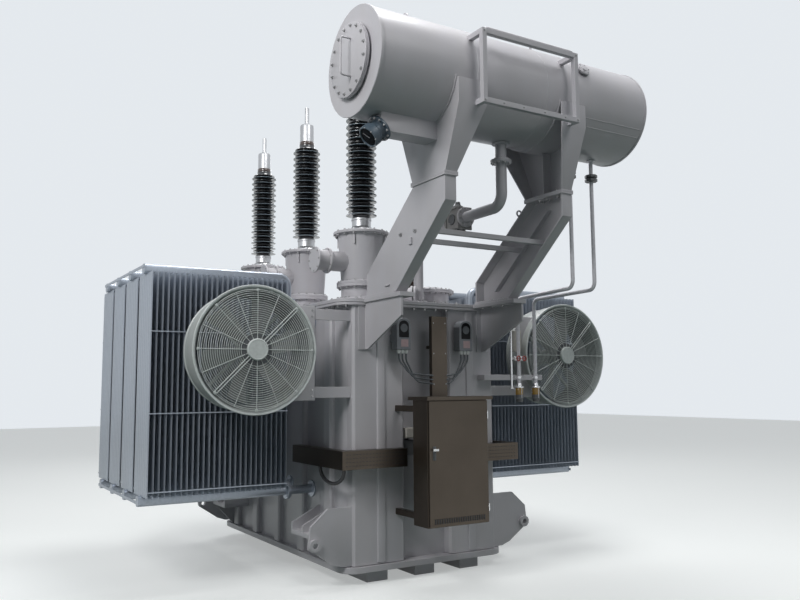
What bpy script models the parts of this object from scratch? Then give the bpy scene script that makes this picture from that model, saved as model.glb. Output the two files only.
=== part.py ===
"""Oil-filled power transformer with two radiator banks, two fans and an oil conservator.

Run with: blender --background --python part.py
Units are metres, +Z is up and the conservator stands at the -Y end.
The origin is on the floor under the middle of the tank.
"""

from math import atan2, cos, pi, radians, sin, tan

import bmesh
import bpy
from mathutils import Matrix, Vector

# Clearances and facets
GAP = 0.0003
OVERRUN = 0.02
SEAT = 0.004
ROUND_STEPS = 24
PIPE_SIDES = 10
SMALL_SIDES = 6
BEND_STEPS = 2
ROUND_PROFILE = 0.5

# Base plate on its skids
SKID_HEIGHT = 0.10
SKID_WIDTH = 0.20
SKID_INSET = 0.09
SKID_PITCH = 0.47
SKID_COUNT = 3
BASE_SIDE_PROUD = 0.056
BASE_END_PROUD = 0.12
BASE_THICKNESS = 0.05
BASE_CORNER = 0.14

# Tank
TANK_WIDTH = 1.52
TANK_LENGTH = 2.70
TANK_TOP = 2.32
TANK_CORNER = 0.07
COLUMN_INSET = 0.03
COLUMN_WIDTH = 0.50
COLUMN_DEPTH = 0.09
COLUMN_ROUND = 0.02
STIFFENER_COUNT = 5
STIFFENER_WIDTH = 0.13
STIFFENER_DEPTH = 0.045
STIFFENER_PITCH = 0.55
STIFFENER_ROUND = 0.015
STIFFENER_SETBACK = 0.14

# Cover
COVER_SIDE_PROUD = 0.09
COVER_END_PROUD = 0.12
COVER_THICKNESS = 0.03
COVER_CORNER = 0.16

# Jacking and hauling brackets at the four lower corners
JACK_REACH = 0.26
JACK_PLATE = 0.025
JACK_TOP = 0.59
JACK_NOSE = 0.46
JACK_PAD_HEIGHT = 0.40
JACK_PAD_THICKNESS = 0.03
JACK_NEAR = 0.13
JACK_FAR = 0.50
JACK_RIB_PITCH = 0.22
HAUL_PROUD = 0.07
HAUL_OUTLINE = ((0.06, 0.16), (0.15, 0.19), (0.36, 0.33), (0.34, 0.50), (0.19, 0.63))
HAUL_EYE_REACH = 0.31
HAUL_EYE_Z = 0.357
HAUL_EYE_RADIUS = 0.025
HAUL_BOSS_RADIUS = 0.05
HAUL_BOSS_PROUD = 0.03

# Conservator
CONSERVATOR_RADIUS = 0.40
CONSERVATOR_WALL = 0.008
CONSERVATOR_LEFT = -1.236
CONSERVATOR_RIGHT = 1.32
CONSERVATOR_OVERHANG = 1.00
CONSERVATOR_Z = 3.945
END_LIP = 0.005
END_THICKNESS = 0.02
END_DISH = 0.05
END_DISH_SHARES = ((0.8, 0.6), (0.4, 0.93))
MANHOLE_RADIUS = 0.27
MANHOLE_NECK_RADIUS = 0.235
MANHOLE_NECK = 0.015
MANHOLE_FLANGE = 0.015
MANHOLE_COVER = 0.018
HANDLE_RADIUS = 0.008
HANDLE_REACH = 0.03
HANDLE_LENGTH = 0.10
HANDLE_SPREAD = 0.15

# Legs and their brackets
LEG_INSET = 0.11
LEG_FLANGE = 0.10
LEG_FLANGE_TOP = 0.25
LEG_PLATE = 0.014
LEG_FOOT_DEPTH = 0.46
LEG_DEPTH = 0.44
LEG_JOINT_Z = 3.16
LEG_KINK_LOW = 0.20
LEG_KINK_HIGH = 0.20
LEG_FOOT_PLATE = 0.02
LEG_JOINT_PLATE = 0.016
LEG_JOINT_PROUD = 0.012
LEG_FLARE = 0.82
LEG_FLARE_DROP = 0.30
LEG_RIB_WIDTH = 0.014
LEG_RIB_DEPTH = 0.055
SADDLE_THICKNESS = 0.014
SADDLE_STEPS = 10
BRACKET_PLATE = 0.02
BRACKET_REACH = 0.594
BRACKET_TIP = 0.155
BRACKET_DROP = 0.397
BRACKET_TOE = 0.05
BRACKET_TOP_PROUD = 0.016
BRACKET_PAD = 0.012
BRACKET_PAD_INNER = 0.07
BRACKET_PAD_OUTER = 0.065
BRACKET_PAD_DROP = 0.02
BRACE_SIZE = 0.04
BRACE_FRONT_SETBACK = 0.08
BRACE_FRONT_Z = 2.79
BRACE_REAR_SETBACK = 0.40
BRACE_REAR_Z = 2.775

# Frame in front of the conservator
FRAME_LEFT = -0.455
FRAME_RIGHT = 0.44
FRAME_LOW_Z = 3.63
FRAME_HIGH_Z = 4.19
FRAME_BAR = 0.04
FRAME_STANDOFF = 0.07

# Oil level gauge on its duct
DUCT_LOW = 3.43
DUCT_LEFT = -1.025
DUCT_END = 0.11
DUCT_FRONT_REACH = 0.125
DUCT_BACK_REACH = 0.04
GAUGE_TILT = radians(41.0)
GAUGE_FLANGE_RADIUS = 0.10
GAUGE_FLANGE = 0.018
GAUGE_RADIUS = 0.085
GAUGE_DEPTH = 0.12
GAUGE_FACE_RADIUS = 0.07
GAUGE_BEZEL = 0.105

# Oil pipe and gas relay
OIL_PIPE_X = 0.08
OIL_PIPE_RADIUS = 0.045
OIL_PIPE_LOW = 3.03
OIL_PIPE_BEND = 0.11
OIL_PIPE_FOOT_SETBACK = 0.15
OIL_FLANGE_RADIUS = 0.085
OIL_FLANGE = 0.025
OIL_FLANGE_Z = 3.38
OIL_FOOT_FLANGE = 0.03
RELAY_SETBACK = 0.60
RELAY_LENGTH = 0.20
RELAY_WIDTH = 0.15
RELAY_HEIGHT = 0.20
RELAY_FLANGE = 0.022
RELAY_DOME_RADIUS = 0.045
RELAY_DOME_HEIGHT = 0.06

# High-voltage turrets and bushings
PHASE_PITCH = 1.17
PHASE_COUNT = 3
PHASE_X = -0.50
TURRET_FOOT_RADIUS = 0.235
TURRET_LOWER_RADIUS = 0.18
TURRET_JOINT_Z = 2.50
TURRET_FLANGE_RADIUS = 0.22
TURRET_LOW_BODY_RADIUS = 0.18
TURRET_TOP_BODY_RADIUS = 0.21
TURRET_TOP_RADIUS = 0.25
TURRET_TOP_Z = 2.97
TURRET_FLANGE = 0.025
TURRET_PORT_RADIUS = 0.088
TURRET_PORT_REACH = 0.24
TURRET_PORT_FLANGE = 0.018
TURRET_PORT_FLANGE_RADIUS = 0.112
TURRET_PORT_Z = 2.70
TURRET_SIDES = 16
BUSHING_FLANGE_RADIUS = 0.145
BUSHING_FLANGE = 0.025
BUSHING_NECK_RADIUS = 0.085
BUSHING_SHED_START = 3.11
BUSHING_SHED_END = 4.06
BUSHING_SHEDS = 12
BUSHING_SHED_RADIUS = 0.138
BUSHING_CORE_RADIUS = 0.08
BUSHING_CAP_RADIUS = 0.07
BUSHING_CAP_END = 4.30
BUSHING_STUD_RADIUS = 0.022
BUSHING_STUD_END = 4.49
BUSHING_SIDES = 10

# Low-voltage bushings on the far side of the cover
LV_PITCH = 0.42
LV_COUNT = 3
LV_X = 0.50
LV_MIDDLE_Y = 0.02
LV_BOX_WIDTH = 0.30
LV_BOX_HEIGHT = 0.10
LV_FLANGE_RADIUS = 0.10
LV_FLANGE = 0.03
LV_SHED_RADIUS = 0.085
LV_CORE_RADIUS = 0.052
LV_SHEDS = 4
LV_SHED_LENGTH = 0.34
LV_STUD_RADIUS = 0.018
LV_STUD = 0.10

# Tap changer head on the cover, between the legs
TAP_X = 0.36
TAP_SETBACK = 0.40
TAP_RADIUS = 0.19
TAP_FLANGE_RADIUS = 0.24
TAP_FLANGE = 0.03
TAP_HEIGHT = 0.14
TAP_DOME = 0.07
TAP_SIDES = 14

# Radiators
RADIATOR_COUNT = 4
RADIATOR_PITCH = 0.48
RADIATOR_STANDOFF = 0.34
FIN_COUNT = 27
FIN_PITCH = 0.0445
FIN_THICKNESS = 0.012
FIN_WIDTH = 0.43
FIN_LOW = 0.755
FIN_HIGH = 2.545
HEADER_WIDTH = 0.085
HEADER_HEIGHT = 0.085
HEADER_ROUND = 0.03
HEADER_OVERHANG = 0.02
GOOSE_RADIUS = 0.038
GOOSE_BEND = 0.07
GOOSE_STANDOFF = 0.26
GOOSE_LOW = 2.20
GOOSE_FLANGE_RADIUS = 0.075
GOOSE_FLANGE = 0.03
GOOSE_FLANGE_Z = 2.38

# Fans
FAN_OFFSET = 0.50
FAN_Z = 1.90
FAN_PROUD = 0.06
FAN_RADIUS = 0.475
FAN_REAR_RADIUS = 0.505
FAN_WALL = 0.012
FAN_MOUTH = 0.06
FAN_DEPTH = 0.34
FAN_THROAT_RADIUS = 0.43
GUARD_RADIUS = 0.470
GUARD_RINGS = 3
GUARD_SPOKES = 8
GUARD_BAR = 0.012
GUARD_DEPTH = 0.010
GUARD_STEPS = 20
GUARD_HUB_RADIUS = 0.085
GUARD_HUB_DEPTH = 0.03
ROTOR_TIP_CLEARANCE = 0.02
ROTOR_SETBACK = 0.10
ROTOR_HUB_RADIUS = 0.085
ROTOR_HUB_DEPTH = 0.10
ROTOR_BLADES = 6
ROTOR_BLADE_THICKNESS = 0.006
ROTOR_BLADE_PITCH = radians(32.0)
ROTOR_BLADE_CHORD = 0.17
ROTOR_ROOT_CHORD = 0.075
ROTOR_SHAFT_RADIUS = 0.022
MOTOR_RADIUS = 0.075
MOTOR_DEPTH = 0.10
MOTOR_NECK_RADIUS = 0.04
MOTOR_CLEARANCE = 0.008
MOTOR_ARM = 0.016
FAN_PLATE = 0.012
FAN_PLATE_INNER_REACH = 0.54
FAN_PLATE_OUTER_REACH = 0.33
FAN_PLATE_LOW = 1.50
FAN_PLATE_HIGH = 2.27
FAN_PLATE_SETBACK = 0.10
FAN_ARM_HEIGHT = 0.09
FAN_ARM_INSET = 0.02
FAN_ARM_THICKNESS = 0.012

# Control cabinet
CABINET_LEFT = -0.33
CABINET_RIGHT = 0.263
CABINET_LOW = 0.49
CABINET_HIGH = 1.50
CABINET_PROUD = 0.53
CABINET_DEPTH = 0.236
CABINET_WALL = 0.012
CABINET_LID = 0.025
CABINET_LID_PROUD = 0.03
CABINET_ARM = 0.05
DOOR_THICKNESS = 0.02
DOOR_MARGIN = 0.006
DOOR_HANDLE_WIDTH = 0.025
DOOR_HANDLE_HEIGHT = 0.11
DOOR_HANDLE_PROUD = 0.03
DOOR_HANDLE_INSET = 0.045
DOOR_HANDLE_Z = 1.02

# Cable duct, trays and temperature gauges on the end wall
RISER_CENTRE_X = 0.075
RISER_WIDTH = 0.16
RISER_DEPTH = 0.05
RISER_HIGH = 2.22
RISER_LOW = 1.30
RISER_FIXING = 0.05
TRAY_Z = 1.02
TRAY_HEIGHT = 0.15
TRAY_DEPTH = 0.10
TRAY_SIDE_DEPTH = 0.08
TRAY_STANDOFF = 0.14
TRAY_PROUD = 0.14
TRAY_SIDE_LENGTH = 0.75
TRAY_STAY_SETBACK = 0.63
TRAY_INNER_REACH = 0.44
TRAY_FIXING = 0.04
GAUGE_BOX_SPREAD = 0.65
GAUGE_BOX_SHIFT = 0.02
GAUGE_BOX_WIDTH = 0.14
GAUGE_BOX_HEIGHT = 0.27
GAUGE_BOX_DEPTH = 0.09
GAUGE_BOX_LOW = 1.92
GAUGE_BOX_ROUND = 0.06
GAUGE_BOX_FIXING = 0.035

# Breather pipes and their rail at the right-hand corner
BREATHER_REACHES = (0.19, 0.39)
BREATHER_PROUD = 0.12
BREATHER_TOP_XS = (0.82, 1.07)
BREATHER_TURN_Z = 2.42
BREATHER_PIPE_RADIUS = 0.017
BREATHER_PIPE_BEND = 0.07
BREATHER_PIPE_END = 1.63
BREATHER_UNION_RADIUS = 0.04
BREATHER_UNION = 0.045
BREATHER_UNION_Z = 3.37
BREATHER_RADIUS = 0.042
BREATHER_LOW = 1.46
RAIL_INSET = 0.17
RAIL_REACH = 0.49
RAIL_Z = 1.66
RAIL_HEIGHT = 0.05
RAIL_THICKNESS = 0.012

# Values that follow from those above
TANK_BOTTOM = SKID_HEIGHT + BASE_THICKNESS + GAP
TANK_SIDE_X = TANK_WIDTH / 2
TANK_END_Y = -TANK_LENGTH / 2
BASE_WIDTH = TANK_WIDTH + 2 * BASE_SIDE_PROUD
BASE_LENGTH = TANK_LENGTH + 2 * BASE_END_PROUD
SKID_LENGTH = BASE_LENGTH - 2 * SKID_INSET
COVER_WIDTH = TANK_WIDTH + 2 * COVER_SIDE_PROUD
COVER_LENGTH = TANK_LENGTH + 2 * COVER_END_PROUD
COLUMN_OUTER_X = TANK_SIDE_X - COLUMN_INSET
COLUMN_FACE_Y = TANK_END_Y - COLUMN_DEPTH
STIFFENER_FACE_X = TANK_SIDE_X + STIFFENER_DEPTH
COVER_LOW = TANK_TOP + GAP
COVER_TOP = COVER_LOW + COVER_THICKNESS
BRACKET_TOP = TANK_TOP
BRACKET_TIP_Y = COLUMN_FACE_Y - BRACKET_REACH
LEG_OUTER_X = COLUMN_OUTER_X - LEG_INSET
LEG_FOOT_Z = COVER_TOP + GAP
LEG_FOOT_REAR_Y = -COVER_LENGTH / 2 - 2 * GAP
CONSERVATOR_Y = COLUMN_FACE_Y - CONSERVATOR_OVERHANG
BRACE_FRONT_Y = CONSERVATOR_Y + BRACE_FRONT_SETBACK
BRACE_REAR_Y = CONSERVATOR_Y + BRACE_REAR_SETBACK
DUCT_FRONT_Y = CONSERVATOR_Y - DUCT_FRONT_REACH
DUCT_BACK_Y = CONSERVATOR_Y + DUCT_BACK_REACH
OIL_PIPE_FOOT_Y = TANK_END_Y + OIL_PIPE_FOOT_SETBACK
RELAY_Y = CONSERVATOR_Y + RELAY_SETBACK
TAP_Y = TANK_END_Y + TAP_SETBACK
RADIATOR_INNER_X = TANK_SIDE_X + RADIATOR_STANDOFF
GOOSE_X = TANK_SIDE_X + GOOSE_STANDOFF
FAN_X = RADIATOR_INNER_X + FAN_OFFSET
FAN_FRONT = COLUMN_FACE_Y - FAN_PROUD
FAN_PLATE_INNER_X = FAN_X - FAN_PLATE_INNER_REACH
FAN_PLATE_OUTER_X = FAN_X - FAN_PLATE_OUTER_REACH
CABINET_FRONT = COLUMN_FACE_Y - CABINET_PROUD
TRAY_OUTER_X = TANK_SIDE_X + TRAY_STANDOFF
TRAY_FRONT_Y = COLUMN_FACE_Y - TRAY_PROUD
TRAY_SIDE_END_Y = TANK_END_Y + TRAY_SIDE_LENGTH
TRAY_STAY_Y = TANK_END_Y + TRAY_STAY_SETBACK
TRAY_MIDDLE_X = COLUMN_OUTER_X - TRAY_INNER_REACH
BREATHER_Y = COLUMN_FACE_Y - BREATHER_PROUD
BREATHER_XS = [TANK_SIDE_X + reach for reach in BREATHER_REACHES]
RAIL_LEFT = COLUMN_OUTER_X - RAIL_INSET
RAIL_RIGHT = TANK_SIDE_X + RAIL_REACH


def clear_scene():
    """Remove every object that the scene starts with."""
    for obj in list(bpy.data.objects):
        bpy.data.objects.remove(obj, do_unlink=True)


def material(name, colour, roughness, metallic=0.0):
    """Make a Principled BSDF material."""
    made = bpy.data.materials.new(name)
    made.use_nodes = True
    shader = made.node_tree.nodes["Principled BSDF"]
    shader.inputs["Base Color"].default_value = (*colour, 1.0)
    shader.inputs["Roughness"].default_value = roughness
    shader.inputs["Metallic"].default_value = metallic
    return made


def box(low, high):
    """Make a box between two corners."""
    bm = bmesh.new()
    size = [b - a for a, b in zip(low, high)]
    centre = [(a + b) / 2 for a, b in zip(low, high)]
    bmesh.ops.create_cube(bm, size=1.0, matrix=Matrix.Translation(centre) @ Matrix.Diagonal((*size, 1.0)))
    return bm


def block(x, y, z):
    """Make a box from three (low, high) pairs given in any order."""
    spans = [sorted(span) for span in (x, y, z)]
    return box([s[0] for s in spans], [s[1] for s in spans])


def round_edges(bm, axis, radius, segments=2):
    """Round the edges that run along one axis."""
    edges = []
    for edge in bm.edges:
        along = edge.verts[1].co - edge.verts[0].co
        if abs(along.normalized()[axis]) > cos(radians(1.0)):
            edges.append(edge)
    bmesh.ops.bevel(
        bm, geom=edges, offset=radius, segments=segments, profile=ROUND_PROFILE,
        affect="EDGES", material=-1,
    )
    return bm


def prism(outline, axis, start, end):
    """Extrude an outline of the two other coordinates, in X, Y, Z order, along an axis."""
    bm = bmesh.new()
    verts = []
    for a, b in outline:
        place = [a, b]
        place.insert(axis, start)
        verts.append(bm.verts.new(place))
    face = bm.faces.new(verts)
    made = bmesh.ops.extrude_face_region(bm, geom=[face])
    moved = [item for item in made["geom"] if isinstance(item, bmesh.types.BMVert)]
    shift = Vector((0, 0, 0))
    shift[axis] = end - start
    bmesh.ops.translate(bm, verts=moved, vec=shift)
    bmesh.ops.recalc_face_normals(bm, faces=bm.faces)
    return bm


def turned(profile, centre, axis, steps):
    """Spin a profile of (radius, height) points about an axis through a centre."""
    bm = bmesh.new()
    ahead = Vector(axis)
    side = ahead.orthogonal().normalized()
    verts = [bm.verts.new(Vector(centre) + side * r + ahead * h) for r, h in profile]
    edges = [bm.edges.new(pair) for pair in zip(verts, verts[1:])]
    if profile[0][0] > 0 and profile[-1][0] > 0:
        edges.append(bm.edges.new((verts[-1], verts[0])))
    bmesh.ops.spin(
        bm, geom=verts + edges, cent=centre, axis=ahead, angle=2 * pi,
        steps=steps, use_merge=True,
    )
    bmesh.ops.remove_doubles(bm, verts=bm.verts, dist=GAP / 10)
    bmesh.ops.dissolve_limit(bm, angle_limit=radians(0.1), verts=bm.verts, edges=bm.edges)
    bmesh.ops.recalc_face_normals(bm, faces=bm.faces)
    return bm


def disc(centre, axis, radius, depth, steps):
    """Make a round plate that reaches its depth along the axis."""
    return turned([(0, 0), (radius, 0), (radius, depth), (0, depth)], centre, axis, steps)


def pulled(bm, faces, keep=False):
    """Extrude faces, drop the ones they start from, and return the new vertices and faces."""
    made = bmesh.ops.extrude_face_region(bm, geom=faces)["geom"]
    if not keep:
        bmesh.ops.delete(bm, geom=[f for f in faces if f.is_valid], context="FACES_ONLY")
    moved = [item for item in made if isinstance(item, bmesh.types.BMVert)]
    ends = [item for item in made if isinstance(item, bmesh.types.BMFace)]
    return moved, ends


def pipe(points, radius, bend, sides=PIPE_SIDES):
    """Make a round bar along straight runs that are joined by bends."""
    points = [Vector(p) for p in points]
    bm = bmesh.new()
    ahead = (points[1] - points[0]).normalized()
    turn = ahead.to_track_quat("Z", "Y").to_matrix().to_4x4()
    bmesh.ops.create_circle(
        bm, cap_ends=True, segments=sides, radius=radius,
        matrix=Matrix.Translation(points[0]) @ turn,
    )
    bm.faces.ensure_lookup_table()
    end = bm.faces[0]
    here = points[0]
    for i in range(1, len(points)):
        corner = points[i]
        last = i == len(points) - 1
        if not last:
            after = (points[i + 1] - corner).normalized()
            angle = ahead.angle(after)
            trim = bend * tan(angle / 2)
        stop = corner if last else corner - ahead * trim
        moved, (end,) = pulled(bm, [end], keep=i == 1)
        bmesh.ops.translate(bm, verts=moved, vec=stop - here)
        here = stop
        if last:
            break
        normal = ahead.cross(after).normalized()
        middle = stop + normal.cross(ahead) * bend
        for _ in range(BEND_STEPS):
            moved, (end,) = pulled(bm, [end])
            bmesh.ops.rotate(
                bm, verts=moved, cent=middle,
                matrix=Matrix.Rotation(angle / BEND_STEPS, 3, normal),
            )
        here = corner + after * trim
        ahead = after
    bmesh.ops.recalc_face_normals(bm, faces=bm.faces)
    return bm


def mirrored(bm):
    """Turn a shape over to the other side of the YZ plane."""
    bmesh.ops.scale(bm, vec=(-1, 1, 1), verts=bm.verts)
    bmesh.ops.recalc_face_normals(bm, faces=bm.faces)
    return bm


def on_side(bm, side):
    """Keep a shape that was modelled at +X, or turn it over to -X."""
    return bm if side > 0 else mirrored(bm)


def add_object(name, bm, finish, origin=(0, 0, 0)):
    """Put a shape in the scene with its origin at a point and its sharp edges kept."""
    mesh = bpy.data.meshes.new(name)
    bmesh.ops.translate(bm, verts=bm.verts, vec=-Vector(origin))
    bm.to_mesh(mesh)
    bm.free()
    obj = bpy.data.objects.new(name, mesh)
    obj.location = origin
    bpy.context.scene.collection.objects.link(obj)
    dress(obj, finish)
    return obj


def dress(obj, finish):
    """Give an object its material and shade its round sides smooth."""
    obj.data.materials.clear()
    obj.data.materials.append(finish)
    obj.data.shade_smooth()
    obj.data.set_sharp_from_angle(angle=radians(35.0))


def fused(name, shapes, finish, cuts=(), origin=(0, 0, 0)):
    """Join shapes that overlap into one body, cut others from it and keep the result."""
    body = add_object(name, shapes[0], finish, origin)
    helpers = []
    for operation, group in (("UNION", shapes[1:]), ("DIFFERENCE", cuts)):
        for shape in group:
            helper = add_object(f"{name} tool", shape, finish)
            helper.hide_render = True
            helper.display_type = "WIRE"
            step = body.modifiers.new(operation.title(), "BOOLEAN")
            step.operation = operation
            step.object = helper
            step.solver = "EXACT"
            helpers.append(helper)
    bpy.context.view_layer.update()
    graph = bpy.context.evaluated_depsgraph_get()
    mesh = bpy.data.meshes.new_from_object(body.evaluated_get(graph))
    body.modifiers.clear()
    body.data = mesh
    for helper in helpers:
        bpy.data.objects.remove(helper, do_unlink=True)
    tidy_mesh(mesh)
    dress(body, finish)
    return body


def tidy_mesh(mesh):
    """Merge flat faces that a join has split."""
    bm = bmesh.new()
    bm.from_mesh(mesh)
    bmesh.ops.remove_doubles(bm, verts=bm.verts, dist=GAP / 30)
    bmesh.ops.dissolve_limit(bm, angle_limit=radians(0.05), verts=bm.verts, edges=bm.edges)
    bm.to_mesh(mesh)
    bm.free()


def base(paint):
    """Base plate with rounded corners, welded on its skids."""
    half_x, half_y = BASE_WIDTH / 2, BASE_LENGTH / 2
    plate = block((-half_x, half_x), (-half_y, half_y), (SKID_HEIGHT, SKID_HEIGHT + BASE_THICKNESS))
    round_edges(plate, 2, BASE_CORNER, 4)
    shapes = [plate]
    for i in range(SKID_COUNT):
        centre = (i - (SKID_COUNT - 1) / 2) * SKID_PITCH
        shapes.append(block(
            (centre - SKID_WIDTH / 2, centre + SKID_WIDTH / 2),
            (-SKID_LENGTH / 2, SKID_LENGTH / 2),
            (0, SKID_HEIGHT + SEAT),
        ))
    fused("base_frame", shapes, paint)


def jack_gusset_outline():
    """Outline in (x, z) of a sloping rib above the jacking pad."""
    inner = TANK_SIDE_X - SEAT
    outer = TANK_SIDE_X + JACK_REACH
    return [
        (inner, JACK_PAD_HEIGHT), (outer, JACK_PAD_HEIGHT), (outer, JACK_NOSE),
        (TANK_SIDE_X, JACK_TOP), (inner, JACK_TOP),
    ]


def jack_foot_outline():
    """Outline in (x, z) of the plate that carries the jacking pad from below."""
    inner = TANK_SIDE_X - SEAT
    high = JACK_PAD_HEIGHT - JACK_PAD_THICKNESS / 2
    return [
        (inner, TANK_BOTTOM + SEAT), (STIFFENER_FACE_X, TANK_BOTTOM + SEAT),
        (TANK_SIDE_X + JACK_REACH - SEAT, high), (inner, high),
    ]


def haul_plate_outline():
    """Outline in (x, z) of the corner plate that holds the hauling eye."""
    inner = COLUMN_OUTER_X - COLUMN_ROUND
    outline = [(TANK_SIDE_X + reach, z) for reach, z in HAUL_OUTLINE]
    return [(inner, HAUL_OUTLINE[0][1])] + outline + [(inner, HAUL_OUTLINE[-1][1])]


def corner_bracket(side, end):
    """Shapes of one corner's jacking pad, ribs and hauling plate, and the eye cut from it."""
    def y_of(setback):
        return end * (TANK_LENGTH / 2 - setback)

    haul_y = y_of(-HAUL_PROUD)
    shapes = [prism(haul_plate_outline(), 1, haul_y, y_of(JACK_PLATE - HAUL_PROUD))]
    for setback in (JACK_FAR - JACK_PLATE - SEAT, JACK_FAR - JACK_PLATE - JACK_RIB_PITCH):
        shapes.append(prism(jack_gusset_outline(), 1, y_of(setback), y_of(setback + JACK_PLATE)))
    shapes.append(prism(jack_foot_outline(), 1, y_of(JACK_NEAR + SEAT), y_of(JACK_NEAR + JACK_PLATE)))
    shapes.append(block(
        (TANK_SIDE_X - SEAT, TANK_SIDE_X + JACK_REACH), (y_of(JACK_NEAR), y_of(JACK_FAR)),
        (JACK_PAD_HEIGHT - JACK_PAD_THICKNESS, JACK_PAD_HEIGHT + SEAT),
    ))
    eye_x = TANK_SIDE_X + HAUL_EYE_REACH
    shapes.append(disc(
        (eye_x, haul_y + end * HAUL_BOSS_PROUD, HAUL_EYE_Z), (0, -end, 0),
        HAUL_BOSS_RADIUS, HAUL_BOSS_PROUD + JACK_PLATE / 2, PIPE_SIDES,
    ))
    cut = disc(
        (eye_x, haul_y + end * (HAUL_BOSS_PROUD + OVERRUN), HAUL_EYE_Z), (0, -end, 0),
        HAUL_EYE_RADIUS, HAUL_BOSS_PROUD + 2 * OVERRUN + JACK_PLATE, SMALL_SIDES,
    )
    return [on_side(shape, side) for shape in shapes], on_side(cut, side)


def tank(paint):
    """Tank with end columns, side stiffeners and corner brackets welded on."""
    body = block(
        (-TANK_SIDE_X, TANK_SIDE_X), (TANK_END_Y, -TANK_END_Y), (TANK_BOTTOM, TANK_TOP)
    )
    shapes = [round_edges(body, 2, TANK_CORNER, 3)]
    cuts = []
    for side in (-1, 1):
        for end in (-1, 1):
            column = block(
                (COLUMN_OUTER_X - COLUMN_WIDTH, COLUMN_OUTER_X),
                (-TANK_END_Y - TANK_CORNER, -COLUMN_FACE_Y),
                (TANK_BOTTOM + SEAT, TANK_TOP - SEAT),
            )
            round_edges(column, 2, COLUMN_ROUND, 1)
            if end < 0:
                bmesh.ops.scale(column, vec=(1, -1, 1), verts=column.verts)
                bmesh.ops.recalc_face_normals(column, faces=column.faces)
            shapes.append(on_side(column, side))
            corner, cut = corner_bracket(side, end)
            shapes += corner
            cuts.append(cut)
        for i in range(STIFFENER_COUNT):
            middle = (i - (STIFFENER_COUNT - 1) / 2) * STIFFENER_PITCH
            if abs(middle) + STIFFENER_WIDTH / 2 > TANK_LENGTH / 2 - STIFFENER_SETBACK:
                continue
            rib = block(
                (TANK_SIDE_X - STIFFENER_DEPTH, STIFFENER_FACE_X),
                (middle - STIFFENER_WIDTH / 2, middle + STIFFENER_WIDTH / 2),
                (TANK_BOTTOM + SEAT, TANK_TOP - SEAT),
            )
            shapes.append(on_side(round_edges(rib, 2, STIFFENER_ROUND, 1), side))
    fused("tank_body", shapes, paint, cuts)


def cover(paint):
    """Cover plate with rounded corners."""
    half_x, half_y = COVER_WIDTH / 2, COVER_LENGTH / 2
    plate = block((-half_x, half_x), (-half_y, half_y), (COVER_LOW, COVER_TOP))
    fused("tank_cover", [round_edges(plate, 2, COVER_CORNER, 4)], paint)


def brackets(paint):
    """Gusset plates under a flat seat, on a pad, that carry the conservator legs."""
    low = BRACKET_TOP - BRACKET_DROP
    face_y = COLUMN_FACE_Y - GAP
    outline = [
        (face_y, BRACKET_TOP), (BRACKET_TIP_Y, BRACKET_TOP),
        (BRACKET_TIP_Y, BRACKET_TOP - BRACKET_TIP), (COLUMN_FACE_Y - BRACKET_TOE, low), (face_y, low),
    ]
    for name, side in (("left", -1), ("right", 1)):
        gusset = prism(outline, 0, LEG_OUTER_X - BRACKET_PLATE, LEG_OUTER_X)
        top = block(
            (LEG_OUTER_X - LEG_FLANGE - BRACKET_PLATE, LEG_OUTER_X + BRACKET_PLATE),
            (-COVER_LENGTH / 2 - GAP, BRACKET_TIP_Y - BRACKET_TOP_PROUD),
            (BRACKET_TOP - SEAT, COVER_TOP),
        )
        pad = block(
            (LEG_OUTER_X - BRACKET_PAD_INNER, LEG_OUTER_X + BRACKET_PAD_OUTER),
            (face_y, face_y - BRACKET_PAD), (low - SEAT, BRACKET_TOP - BRACKET_PAD_DROP),
        )
        shapes = [on_side(shape, side) for shape in (gusset, top, pad)]
        fused(f"leg_bracket_{name}", shapes, paint)


def leg_places():
    """Rear and front edges of the lower leg as (y, z) points, from the foot up."""
    middle = CONSERVATOR_Y
    top_z = LEG_JOINT_Z - GAP
    rear_top = middle + LEG_DEPTH / 2
    front_top = middle - LEG_DEPTH / 2
    foot_rear = LEG_FOOT_REAR_Y - LEG_PLATE
    foot_front = foot_rear - LEG_FOOT_DEPTH
    rear = [
        (foot_rear, LEG_FOOT_Z), (foot_rear, LEG_FOOT_Z + LEG_KINK_LOW),
        (rear_top, LEG_JOINT_Z - LEG_JOINT_PLATE - SEAT), (rear_top, top_z),
    ]
    front = [
        (foot_front, LEG_FOOT_Z), (front_top, LEG_JOINT_Z - LEG_KINK_HIGH), (front_top, top_z),
    ]
    return rear, front


def shifted(points, dy):
    """The same points moved along Y."""
    return [(y + dy, z) for y, z in points]


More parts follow.
